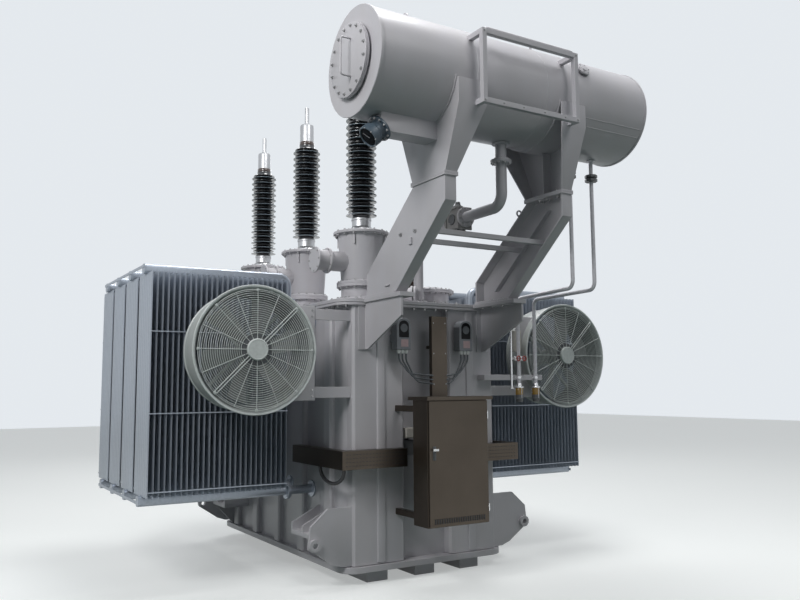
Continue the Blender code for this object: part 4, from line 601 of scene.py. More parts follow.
class TRANSFORMER_OT_finishes(bpy.types.Operator):
    """Make the paints, metals and glazes, and put them on the CAD nodes"""

    bl_idname = "transformer.finishes"
    bl_label = "Finishes"

    def execute(self, context):
        colours, _, _ = settings()
        paint("plate_paint", colours.tank, 0.34)
        zinc("radiator_zinc", colours.fins)
        paint("drum_paint", colours.fans, 0.38, 0.3, 0.0006)
        # Rotors: the fan paint darkened, painted shade for the blades inside the drum
        plain("rotor_painted_shade", tone(colours.fans, 0.38), 0.45)
        # A darker copy of the fan paint for a thin sheet inside each drum: painted shade, not a
        # known part of the fan
        plain("drum_shade_paint", tone(colours.fans, 0.42), 0.5)
        plain("pipe_silver", tone(colours.tank, 1.55), 0.34)
        # The fan paint lightened for the drum's lip: a painted highlight
        plain("lip_painted_highlight", tone(colours.fans, 1.35), 0.34)
        bushing_glaze("black_glaze", colours.sheds)
        metal("brushed_cabinet", colours.steel, 0.36, (1, 1, 0.03), 260.0, 0.05, 0.12)
        metal("tray_steel", tone(colours.steel, 1.05), 0.36, (0.1, 0.1, 1), 260.0, 0.05, 0.2)
        metal("cast_aluminium", (0.56, 0.56, 0.57), 0.36)
        plain("guard_coat", tone(colours.fans, 1.22), 0.38)
        metal("bolt_steel", (0.42, 0.42, 0.42), 0.38)
        plain("dark_case", (0.10, 0.105, 0.11), 0.42)
        # Black rubber of the hose and seal, also used as painted shade for the open slots and vents
        plain("black_rubber_and_hole_shade", (0.025, 0.025, 0.027), 0.55)
        metal("bright_steel", (0.72, 0.72, 0.72), 0.25)
        plain("valve_red", (0.32, 0.05, 0.04), 0.4)
        plain("gauge_grey", (0.22, 0.23, 0.25), 0.40)
        plain("gauge_slate", (0.07, 0.10, 0.13), 0.32)
        plain("dial_face", (0.10, 0.11, 0.12), 0.5)
        plain("cream_casting", (0.50, 0.48, 0.44), 0.45)
        plain("grey_casting", (0.25, 0.245, 0.24), 0.45)
        plain("plate_pink", (0.50, 0.36, 0.37), 0.4)
        plain("white_nylon", (0.92, 0.92, 0.90), 0.35)
        plain("grey_conduit", (0.10, 0.11, 0.12), 0.5)
        plain("dark_glass", (0.006, 0.007, 0.008), 0.18, 0.12)
        plain("amber_beads", (0.34, 0.20, 0.035), 0.15)
        glaze("brown_glaze", (0.035, 0.02, 0.015), 0.12)
        finish_of = {
            "hv_bushing": "black_glaze", "radiator": "radiator_zinc", "fan_guard": "guard_coat",
            "fan": "drum_paint", "cabinet": "brushed_cabinet", "cable": "tray_steel",
            "gas_relay": "dark_case", "temperature_gauge": "dark_case",
        }
        for name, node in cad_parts.items():
            found = [finish for start, finish in finish_of.items() if name.startswith(start)]
            node.data.materials.clear()
            node.data.materials.append(bpy.data.materials[found[0] if found else "plate_paint"])
        return {"FINISHED"}


class TRANSFORMER_OT_stage(bpy.types.Operator):
    """Place the camera, the pale floor and the soft lights"""

    bl_idname = "transformer.stage"
    bl_label = "Stage"

    def execute(self, context):
        _, stage, _ = settings()
        scene = context.scene
        scene.view_settings.view_transform = "Standard"
        data = bpy.data.cameras.new("camera")
        data.lens = stage.lens
        data.sensor_width = 36.0
        camera = bpy.data.objects.new("camera", data)
        camera.matrix_world = (
            Matrix.Translation(stage.camera)
            @ Matrix.Rotation(-stage.heading, 4, "Z")
            @ Matrix.Rotation(pi / 2 + stage.pitch, 4, "X")
            @ Matrix.Rotation(stage.roll, 4, "Z")
        )
        scene.collection.objects.link(camera)
        scene.camera = camera
        self.floor()
        self.world(scene)
        for name, place, size, power in (
            ("key light", (-5.8, -3.6, 5.8), 2.6, 225.0),
            ("top light", (0.5, -1.5, 10.5), 4.0, 480.0),
            ("fill light", (1.0, -8.5, 8.5), 4.0, 150.0),
            ("back light", (4.0, 9.0, 7.0), 5.0, 200.0),
        ):
            lamp = bpy.data.lights.new(name, "AREA")
            lamp.shape = "DISK"
            lamp.size = size
            lamp.energy = power
            made = bpy.data.objects.new(name, lamp)
            made.location = place
            aim = Vector((0, 0, 2.0)) - Vector(place)
            made.rotation_euler = aim.to_track_quat("-Z", "Y").to_euler()
            scene.collection.objects.link(made)
        return {"FINISHED"}

    def floor(self):
        """Pale floor to the eye and in gloss, and a darker one in the light that it sends up."""
        bm = bmesh.new()
        bmesh.ops.create_grid(bm, x_segments=1, y_segments=1, size=30.0)
        mesh = bpy.data.meshes.new("floor")
        bm.to_mesh(mesh)
        bm.free()
        made = bpy.data.objects.new("floor", mesh)
        bpy.context.scene.collection.objects.link(made)
        recipe = Recipe("floor", roughness=0.6)
        pale = recipe.mixed((0.60, 0.62, 0.61), (0.66, 0.67, 0.66), recipe.noise(0.6, 2.0))
        seen = recipe.seen()
        recipe.feed("Base Color", recipe.mixed((0.07, 0.11, 0.095), pale, seen))
        recipe.feed("Emission Color", recipe.mixed((0.0, 0.0, 0.0), (0.36, 0.37, 0.37), seen))
        recipe.feed("Emission Strength", 1.0)
        mesh.materials.append(recipe.material)

    def world(self, scene):
        """Dim light from all round, behind a pale backdrop."""
        world = bpy.data.worlds.new("soft hall")
        world.use_nodes = True
        recipe = Recipe("", world=world)
        recipe.feed("Color", (0.82, 0.86, 0.90))
        recipe.feed("Strength", recipe.seen() * 0.80 + 0.15)
        scene.world = world


class TRANSFORMER_OT_plates(bpy.types.Operator):
    """Give the welded plate work soft edges"""

    bl_idname = "transformer.plates"
    bl_label = "Plate work"

    nodes = (
        "base_frame", "tank_body", "tank_cover", "leg_bracket_left", "leg_bracket_right",
        "lower_leg_left", "lower_leg_right", "upper_leg_left", "upper_leg_right",
        "leg_brace_front", "leg_brace_rear", "conservator_frame", "breather_rail",
        "fan_bracket_left", "fan_bracket_right",
    )

    def execute(self, context):
        _, _, sizes = settings()
        for node in self.nodes:
            piece(f"{node}_plates", node_shape(node), "plate_paint",
                  replaces=[node], bevel=sizes.plate_edge)
        return {"FINISHED"}


class TRANSFORMER_OT_conservator(bpy.types.Operator):
    """Round shell, ends and bolted cover of the conservator"""

    bl_idname = "transformer.conservator"
    bl_label = "Conservator"

    def execute(self, context):
        low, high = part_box("conservator_shell")
        centre = (low + high) / 2
        radius = (high.z - low.z) / 2
        start = Vector((low.x, centre.y, centre.z))
        length = high.x - low.x
        bm = bmesh.new()
        lathe(bm, [(radius, 0), (radius, length), (radius - 0.008, length), (radius - 0.008, 0)],
              start, X_AXIS, 128)
        for share in (0.315, 0.58, 0.70):
            lathe(bm, self.bead(radius, length * share), start, X_AXIS, 128)
        for angle in (radians(-28.0), radians(-38.0)):
            y, z = -cos(angle) * radius, sin(angle) * radius
            rod(
                bm, (high.x - length * 0.27, centre.y + y, centre.z + z),
                (high.x - 0.01, centre.y + y, centre.z + z), 0.0035, 8,
            )
        piece("conservator_drum", bm, "plate_paint", replaces=["conservator_shell"])
        self.left_end(centre)
        self.right_end(centre)
        return {"FINISHED"}

    def bead(self, radius, place):
        """A weld bead round the drum."""
        return [
            (radius - 0.002, place - 0.006), (radius + 0.0018, place - 0.003),
            (radius + 0.0018, place + 0.003), (radius - 0.002, place + 0.006),
        ]

    def left_end(self, centre):
        """Flat end with a neck, flange, bolted cover and a handle."""
        low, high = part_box("conservator_end_left")
        lid_low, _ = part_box("manhole_cover")
        face = Vector((high.x, centre.y, centre.z))
        lip = (high.z - low.z) / 2
        turned(
            "conservator_left_end", "plate_paint", [(0, 0), (lip, 0), (lip, 0.016),
            (lip - 0.003, 0.02), (0.240, 0.02), (0.235, 0.024), (0.235, 0.035), (0.268, 0.035),
            (0.270, 0.037), (0.270, 0.048), (0.268, 0.05), (0, 0.05)], face, -X_AXIS, 128,
            replaces=["conservator_end_left"],
        )
        out = Vector((low.x, centre.y, centre.z))
        bm = bmesh.new()
        lathe(
            bm, [(0, 0), (0.268, 0), (0.270, 0.002), (0.270, 0.016), (0.267, 0.018), (0, 0.018)],
            out, -X_AXIS, 96,
        )
        y = centre.y - 0.05
        x0, x1 = out.x - 0.014, lid_low.x - 0.045
        tube(bm, [(x0, y, centre.z + 0.14), (x1, y, centre.z + 0.14), (x1, y, centre.z - 0.14),
                  (x0, y, centre.z - 0.14)], 0.0065, 0.02, 12)
        piece("manhole_lid", bm, "plate_paint", replaces=["manhole_cover"])
        bolted("manhole_bolts", [
            (0.012, ring_places(out - X_AXIS * 0.018, -X_AXIS, 0.245, 16, 0.2)),
        ])

    def right_end(self, centre):
        """Dished end with a lip."""
        low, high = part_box("conservator_end_right")
        lip = (high.z - low.z) / 2
        depth = high.x - low.x
        bm = bmesh.new()
        profile = [(0, 0), (lip, 0), (lip, 0.018), (lip - 0.003, 0.02)]
        for i in range(1, 9):
            angle = pi / 2 * i / 8
            profile.append((lip * cos(angle), 0.02 + (depth - 0.02) * sin(angle)))
        profile[-1] = (0, depth)
        lathe(bm, profile, Vector((low.x, centre.y, centre.z)), X_AXIS, 128)
        piece("conservator_right_end", bm, "plate_paint", replaces=["conservator_end_right"])


class TRANSFORMER_OT_bushings(bpy.types.Operator):
    """High-voltage turrets with their bolted flanges, ports, sheds and caps"""

    bl_idname = "transformer.bushings"
    bl_label = "Turrets and bushings"

    def execute(self, context):
        for index in (1, 2, 3):
            self.turret(index)
            self.bushing(index)
        return {"FINISHED"}

    def turret(self, index):
        """Stepped drum with bolted flanges, a side port and four lifting lugs."""
        low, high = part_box(f"hv_turret_{index}")
        x = high.x - TURRET_TOP_RADIUS
        y = (low.y + high.y) / 2
        base = low.z
        height = high.z - base
        bm = bmesh.new()
        lathe(bm, [
            (0, 0), (0.235, 0), (0.235, 0.022), (0.232, 0.025), (0.184, 0.025), (0.18, 0.030),
            (0.18, 0.122), (0.184, 0.1247), (0.216, 0.1247), (0.22, 0.128), (0.22, 0.1465),
            (0.2175, 0.148), (0.2175, 0.1515), (0.22, 0.153), (0.22, 0.171), (0.216, 0.1747),
            (0.186, 0.1747), (0.181, 0.180), (0.2095, height - 0.031), (0.214, height - 0.0255),
            (0.246, height - 0.0255), (0.25, height - 0.022), (0.25, height - 0.003),
            (0.247, height), (0, height),
        ], (x, y, base), Z_AXIS, 72)
        z = PORT_Z
        left = low.x
        reach = x - 0.10 - left
        ring = PORT_RING_X - left
        lathe(bm, [
            (0, 0), (0.110, 0), (0.112, 0.002), (0.112, 0.012), (0.110, 0.014), (0.089, 0.014),
            (0.088, 0.018), (0.088, ring - 0.002), (0.110, ring), (0.112, ring + 0.002),
            (0.112, ring + 0.0075), (0.110, ring + 0.0085), (0.110, ring + 0.0095),
            (0.112, ring + 0.0105), (0.112, ring + 0.016), (0.110, ring + 0.018),
            (0.089, ring + 0.018), (0.088, ring + 0.022), (0.088, reach), (0, reach),
        ], (left, y, z), X_AXIS, 48)
        for turn in range(4):
            angle = pi / 4 + turn * pi / 2
            spot = Vector((x + 0.2 * cos(angle), y + 0.2 * sin(angle), base + height - 0.075))
            lug = bmesh.new()
            cube(lug, (-0.005, -0.024, -0.05), (0.005, 0.024, 0.05))
            join(bm, lug, Matrix.Translation(spot) @ Matrix.Rotation(angle + pi / 2, 4, "Z"))
        piece(f"turret_{index}", bm, "plate_paint", replaces=[f"hv_turret_{index}"])
        bolted(f"turret_{index}_bolts", [
            (0.011, ring_places((x, y, base + 0.025), Z_AXIS, 0.208, 12)),
            (0.011, ring_places((x, y, base + 0.1747), Z_AXIS, 0.202, 16)),
            (0.011, ring_places((x, y, base + 0.1247), -Z_AXIS, 0.202, 16)),
            (0.011, ring_places((x, y, base + height - 0.0255), -Z_AXIS, 0.232, 16)),
            (0.011, ring_places((x, y, base + height), Z_AXIS, 0.232, 16)),
            (0.007, ring_places((left, y, z), -X_AXIS, 0.098, 8)),
            (0.007, ring_places((PORT_RING_X, y, z), -X_AXIS, 0.1, 8, 0.3)),
            (0.007, ring_places((PORT_RING_X + 0.018, y, z), X_AXIS, 0.1, 8, 0.3)),
        ])

    def bushing(self, index):
        """Large and small sheds in turn, between a flange and a cap with its stud."""
        _, _, sizes = settings()
        low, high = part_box(f"hv_bushing_{index}")
        centre = (low + high) / 2
        spot = (centre.x, centre.y, low.z)
        height = high.z - low.z
        start, end = 0.150, 1.085
        pitch = (end - start) / (2 * sizes.sheds)
        bm = bmesh.new()
        profile = [(0, start - 0.012), (0.074, start - 0.012), (0.078, start)]
        for i in range(2 * sizes.sheds):
            radius = 0.138 if i % 2 == 0 else 0.119
            foot = start + i * pitch
            profile += [
                (0.0800, foot + 0.002), (radius - 0.010, foot + 0.006), (radius, foot + 0.0078),
                (radius + 0.0002, foot + 0.0102), (radius - 0.006, foot + 0.0132),
                (0.0865, foot + 0.0225),
            ]
        profile += [
            (0.0792, end + 0.002), (0.0792, end + 0.026), (0.074, end + 0.03), (0, end + 0.03),
        ]
        lathe(bm, profile, spot, Z_AXIS, 48)
        piece(f"bushing_{index}_sheds", bm, "black_glaze", replaces=[f"hv_bushing_{index}"])
        bm = bmesh.new()
        lathe(bm, [
            (0, 0), (0.145, 0), (0.145, 0.020), (0.142, 0.0235), (0.108, 0.0245), (0.104, 0.030),
            (0.092, 0.052), (0.086, 0.056), (0.085, 0.062), (0.085, 0.108), (0.090, 0.112),
            (0.090, 0.128), (0.086, 0.132), (0.082, 0.140), (0, 0.140),
        ], spot, Z_AXIS, 56)
        turned(
            f"bushing_{index}_collar", "brown_glaze", [(0, end + 0.027), (0.074, end + 0.027),
            (0.076, end + 0.030), (0.076, end + 0.060), (0.074, end + 0.063), (0, end + 0.063)],
            spot, Z_AXIS, 40,
        )
        top = end + 0.064
        lathe(bm, [
            (0, top), (0.0665, top), (0.070, top + 0.003), (0.070, 1.315), (0.067, 1.3285),
            (0.058, 1.3345), (0.030, 1.3355), (0.028, 1.352), (0.024, 1.354), (0.022, 1.356),
            (0.022, height - 0.003), (0.019, height), (0, height),
        ], spot, Z_AXIS, 40)
        piece(f"bushing_{index}_castings", bm, "cast_aluminium")
        bolted(f"bushing_{index}_bolts", [
            (0.010, ring_places((spot[0], spot[1], low.z + 0.0235), Z_AXIS, 0.126, 12)),
            (0.006, ring_places((spot[0], spot[1], low.z + 1.3345), Z_AXIS, 0.045, 4)),
        ])


class TRANSFORMER_OT_radiators(bpy.types.Operator):
    """Radiators with their fins, headers, necks and tie bars"""

    bl_idname = "transformer.radiators"
    bl_label = "Radiators"

    def execute(self, context):
        inner = self.fin(1)
        outer = self.fin(settings()[2].flutes)
        for side, sign in SIDES:
            for index in (1, 2, 3, 4):
                node = f"radiator_{side}_{index}"
                y = middle(node).y
                bm = bmesh.new()
                self.fins(bm, inner, outer)
                self.headers(bm)
                self.pipes(bm)
                turn = Matrix.Translation((0, y, 0)) @ Matrix.Diagonal((sign, 1, 1, 1))
                whole = bmesh.new()
                join(whole, bm, turn)
                piece(node.replace("radiator", "cooler"), whole, "radiator_zinc",
                      replaces=[node], smooth=40.0)
            self.ties(side, sign)
        bpy.data.meshes.remove(inner)
        bpy.data.meshes.remove(outer)
        return {"FINISHED"}

    def fin(self, flutes):
        """One pressed fin about its own middle line, with its channels raised from a thin seam."""
        half = FIN_WIDTH / 2
        seam, thin, thick = 0.014, 0.0012, FIN_THICKNESS / 2
        valley = 0.009 if flutes > 1 else 0.0
        pitch = (FIN_WIDTH - 2 * seam + valley) / flutes
        line = [(-half, 0.0009), (-half + seam - 0.004, thin)]
        for i in range(flutes):
            start = -half + seam + i * pitch
            end = start + pitch - valley
            line += [
                (start, thick - 0.001), (start + 0.004, thick), (end - 0.004, thick),
                (end, thick - 0.001),
            ]
            if i < flutes - 1:
                line.append((end + valley / 2, thick - 0.0038))
        line += [(half - seam + 0.004, thin), (half, 0.0009)]
        bm = bmesh.new()
        rows = []
        for z, share in (
            (FIN_LOW, 0.15), (FIN_LOW + 0.035, 1.0), (FIN_HIGH - 0.035, 1.0), (FIN_HIGH, 0.15),
        ):
            loop = [(y, t) for y, t in line] + [(y, -t) for y, t in reversed(line)]
            verts = [bm.verts.new((t * share if abs(t) > 0.002 else t, y, z)) for y, t in loop]
            rows.append([bm.edges.new((verts[i - 1], verts[i])) for i in range(len(verts))])
        for lower, upper in zip(rows, rows[1:]):
            bmesh.ops.bridge_loops(bm, edges=lower + upper)
        bmesh.ops.holes_fill(bm, edges=rows[0] + rows[-1], sides=0)
        bmesh.ops.recalc_face_normals(bm, faces=bm.faces)
        mesh = bpy.data.meshes.new("fin")
        bm.to_mesh(mesh)
        bm.free()
        return mesh

    def fins(self, bm, inner, outer):
        """All the fins of a radiator, the two outer ones with their channels."""
        for i in range(FIN_COUNT):
            part = bmesh.new()
            part.from_mesh(outer if i in (0, FIN_COUNT - 1) else inner)
            x = RADIATOR_INNER_X + FIN_THICKNESS / 2 + i * FIN_PITCH
            join(bm, part, Matrix.Translation((x, 0, 0)))

    def headers(self, bm):
        """Square top and bottom headers with rounded edges and a plug."""
        end = RADIATOR_INNER_X + (FIN_COUNT - 1) * FIN_PITCH + FIN_THICKNESS + 0.02
        for low, face in ((FIN_HIGH - 0.004, 1), (FIN_LOW - HEADER + 0.004, -1)):
            part = bmesh.new()
            cube(
                part, (RADIATOR_INNER_X - 0.02, -HEADER / 2, low),
                (end, HEADER / 2, low + HEADER - 0.0005),
            )
            rounded(part, edges_along(part, X_AXIS), 0.026, 5)
            join(bm, part)
            z = low + HEADER / 2
            lathe(
                bm, [(0, -0.004), (0.022, -0.004), (0.022, -0.0005), (0, -0.0005)], (end, 0, z),
                X_AXIS, 20,
            )

    def pipes(self, bm):
        """Neck with its bends, straight return, flanges and wall collars."""
        top_z = FIN_HIGH + HEADER / 2
        low_z = FIN_LOW - HEADER / 2
        wall = TANK_WALL_X
        x = RADIATOR_INNER_X - 0.08
        tube(
            bm, [(1.10, 0, top_z), (x, 0, top_z), (x, 0, NECK_Z), (wall, 0, NECK_Z)], 0.038, 0.07,
            20, 6,
        )
        rod(bm, (1.10, 0, low_z), (wall, 0, low_z), 0.038, 20)
        for place, axis in (((x, 0, NECK_FLANGE_Z), Z_AXIS), ((1.02, 0, low_z), -X_AXIS)):
            lathe(bm, [
                (0, 0), (0.073, 0), (0.075, 0.002), (0.075, 0.0135), (0.073, 0.0142),
                (0.073, 0.0158), (0.075, 0.0165), (0.075, 0.028), (0.073, 0.03), (0, 0.03),
            ], place, axis, 32)
            bolt_heads(
                bm, 0.008, ring_places(Vector(place) + 0.03 * Vector(axis), axis, 0.06, 4, pi / 4),
            )
            bolt_heads(bm, 0.008, ring_places(place, -Vector(axis), 0.06, 4, pi / 4))
        for z in (NECK_Z, low_z):
            lathe(
                bm, [(0, 0), (0.072, 0), (0.072, 0.012), (0.07, 0.014), (0, 0.014)], (wall, 0, z),
                X_AXIS, 28,
            )

    def ties(self, side, sign):
        """Tie bars over the fins' edges and between the outer ends of the headers."""
        bm = bmesh.new()
        first = middle(f"radiator_{side}_1").y
        last = middle(f"radiator_{side}_4").y
        end = RADIATOR_INNER_X + (FIN_COUNT - 1) * FIN_PITCH + FIN_THICKNESS
        for index in (1, 2, 3, 4):
            y = middle(f"radiator_{side}_{index}").y
            for z in TIE_HEIGHTS:
                for edge in (-1, 1):
                    spot = y + edge * (FIN_WIDTH / 2 - 0.001)
                    cube(
                        bm, (RADIATOR_INNER_X, spot - 0.004, z - 0.004),
                        (end, spot + 0.004, z + 0.004),
                    )
        for z in (FIN_HIGH + 0.06, FIN_LOW - 0.05):
            cube(
                bm, (end + 0.0195, first - 0.06, z - 0.012), (end + 0.0245, last + 0.06, z + 0.012),
            )
        whole = bmesh.new()
        join(whole, bm, Matrix.Diagonal((sign, 1, 1, 1)))
        piece(f"cooler_ties_{side}", whole, "radiator_zinc")


class TRANSFORMER_OT_fans(bpy.types.Operator):
    """Fan shrouds with motors, wire guards and rotors"""

    bl_idname = "transformer.fans"
    bl_label = "Fans"

    def execute(self, context):
        for side, sign in SIDES:
            low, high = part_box(f"fan_shroud_{side}")
            centre = Vector(((low.x + high.x) / 2, low.y, (low.z + high.z) / 2))
            self.shroud(side, centre, high.y - low.y)
            self.guard(side, centre)
            self.hub_ring(side, centre)
            self.rotor(side)
        return {"FINISHED"}

    def shroud(self, side, centre, depth):
        """Widening drum with its lip, a dark sheet of painted shade inside it, and the motor on its
        cross.
        """
        bm = bmesh.new()
        lathe(bm, [
            (0.4745, depth), (0.4745, depth - 0.02), (0.470, depth - 0.024), (0.5010, 0.016),
            (0.494, 0.012), (0.486, 0.026), (0.470, 0.062), (0.452, 0.095), (0.438, 0.135),
            (0.4315, 0.18), (0.4315, depth),
        ], centre, Y_AXIS, 128)
        # Lip in the lightened fan paint, a painted highlight
        turned(
            f"fan_lip_{side}", "lip_painted_highlight", [(0.5012, 0.016), (0.5045, 0.011), (0.505, 0.004),
            (0.502, 0.0), (0.496, 0.0), (0.488, 0.003), (0.480, 0.016), (0.478, 0.030),
            (0.484, 0.0295), (0.4935, 0.0125)], centre, Y_AXIS, 128,
        )
        # Thin dark sheet just inside the drum's wall: painted shade
        turned(
            f"fan_shade_sheet_{side}", "drum_shade_paint", [(0.4685, 0.063), (0.4505, 0.096), (0.4365, 0.136),
            (0.4302, 0.182), (0.4302, depth - 0.001), (0.4317, depth - 0.001), (0.4317, 0.181),
            (0.4382, 0.136), (0.4522, 0.096), (0.4702, 0.063)], centre, Y_AXIS, 128,
        )
        motor = MOTOR_FRONT - centre.y
        lathe(bm, [
            (0, motor), (0.030, motor), (0.034, motor + 0.003), (0.036, motor + 0.016),
            (0.070, motor + 0.018), (0.075, motor + 0.024), (0.075, motor + 0.094),
            (0.070, motor + 0.1), (0.04, motor + 0.1), (0.04, depth - 0.002), (0, depth - 0.002),
        ], centre, Y_AXIS, 40)
        for turn in range(4):
            arm = bmesh.new()
            cube(arm, (0.03, depth - 0.030, -0.010), (0.434, depth - 0.006, 0.010))
            join(
                bm, arm,
                Matrix.Translation(centre) @ Matrix.Rotation(pi / 4 + turn * pi / 2, 4, "Y"),
            )
        piece(f"fan_drum_{side}", bm, "drum_paint", replaces=[f"fan_shroud_{side}"])

    def guard(self, side, centre):
        """Wire rings and spokes, hub disc and fixing lugs."""
        _, _, sizes = settings()
        wire = sizes.guard_wire
        front = centre.y - 0.0054
        bm = bmesh.new()
        step = (GUARD_LAST - GUARD_FIRST) / (sizes.guard_rings - 1)
        rings = [(GUARD_FIRST + step * i, 0.0) for i in range(sizes.guard_rings)]
        for radius, sink in rings + [(GUARD_EDGE, -0.001)]:
            circle = [
                (radius + wire * cos(a), wire * sin(a) + sink)
                for a in (0.4 * pi * i for i in range(5))
            ]
            lathe(bm, circle, (centre.x, front, centre.z), -Y_AXIS, 72)
        for i in range(sizes.guard_spokes):
            angle = 2 * pi * i / sizes.guard_spokes
            out = Vector((cos(angle), 0, sin(angle)))
            spot = Vector((centre.x, front - wire * 1.2, centre.z))
            if i % 8 == 2:
                across = Vector((-sin(angle), 0, cos(angle))) * 0.011
                for shift in (-across, across):
                    rod(bm, spot + out * 0.06 + shift, spot + out * 0.469 + shift, wire * 1.6, 6)
            else:
                rod(bm, spot + out * 0.06, spot + out * 0.469, wire * 1.2, 6)
        lathe(bm, [
            (0, 0.0), (0.083, 0.0), (0.085, 0.003), (0.085, 0.023), (0.082, 0.028),
            (0.078, 0.0297), (0.074, 0.0297), (0.072, 0.028), (0, 0.0284),
        ], (centre.x, centre.y - 0.0003, centre.z), -Y_AXIS, 56)
        for matrix in ring_places((centre.x, centre.y, centre.z), -Y_AXIS, GUARD_EDGE, 8):
            lug = bmesh.new()
            cube(lug, (-0.012, -0.009, 0.0003), (0.008, 0.009, 0.0105))
            rod(lug, (-0.004, 0, 0.010), (-0.004, 0, 0.017), 0.0065, 6)
            join(bm, lug, matrix)
        piece(f"fan_wires_{side}", bm, "guard_coat", replaces=[f"fan_guard_{side}"])

    def hub_ring(self, side, centre):
        """Dark ring with its screws between the guard and the rotor."""
        bm = bmesh.new()
        lathe(
            bm, [(0.060, -0.001), (0.118, -0.001), (0.122, -0.004), (0.122, -0.016),
            (0.060, -0.016)], centre, -Y_AXIS, 48,
        )
        bolt_heads(bm, 0.008, ring_places(centre - Y_AXIS * 0.001, -Y_AXIS, 0.103, 8, pi / 8))
        piece(f"fan_hub_ring_{side}", bm, "dark_case")

    def rotor(self, side):
        """Hub with its screws and blades, in the fan paint darkened as painted shade."""
        node = f"fan_rotor_{side}"
        low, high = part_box(node)
        centre = Vector(((low.x + high.x) / 2, low.y, (low.z + high.z) / 2))
        reach = (high.z - low.z) / 2
        bm = bmesh.new()
        lathe(bm, [
            (0, 0), (0.05, 0.0), (0.076, 0.006), (0.085, 0.018), (0.085, 0.094), (0.080, 0.1),
            (0, 0.1),
        ], centre, Y_AXIS, 48)
        bolt_heads(bm, 0.006, ring_places(centre + Y_AXIS * 0.003, -Y_AXIS, 0.058, 6))
        for i in range(BLADE_COUNT):
            turn = Matrix.Rotation(2 * pi * i / BLADE_COUNT + 0.9, 4, "Y")
            join(bm, self.blade(), Matrix.Translation(centre) @ turn)
        piece(f"fan_blades_{side}", bm, "rotor_painted_shade", body=f"{side}_rotor", replaces=[node])

    def blade(self):
        """One pitched blade that widens towards its tip, along +X."""
        bm = bmesh.new()
        bmesh.ops.create_grid(bm, x_segments=8, y_segments=6, size=0.5)
        for vert in bm.verts:
            share = vert.co.x + 0.5
            across = vert.co.y * (0.10 + 0.10 * share)
            pitch = radians(46.0 - 20.0 * share)
            camber = 0.012 * (1 - (2 * vert.co.y) ** 2)
            radius = BLADE_ROOT + (BLADE_TIP - BLADE_ROOT) * share
            bend = 0.05 * share * share
            vert.co = Vector((
                (radius * radius - across * across * 0.6) ** 0.5,
                0.05 + across * sin(pitch) * 0.55 - camber,
                across * cos(pitch) + bend,
            ))
        bmesh.ops.solidify(bm, geom=bm.faces[:], thickness=0.004)
        bmesh.ops.recalc_face_normals(bm, faces=bm.faces)
        return bm


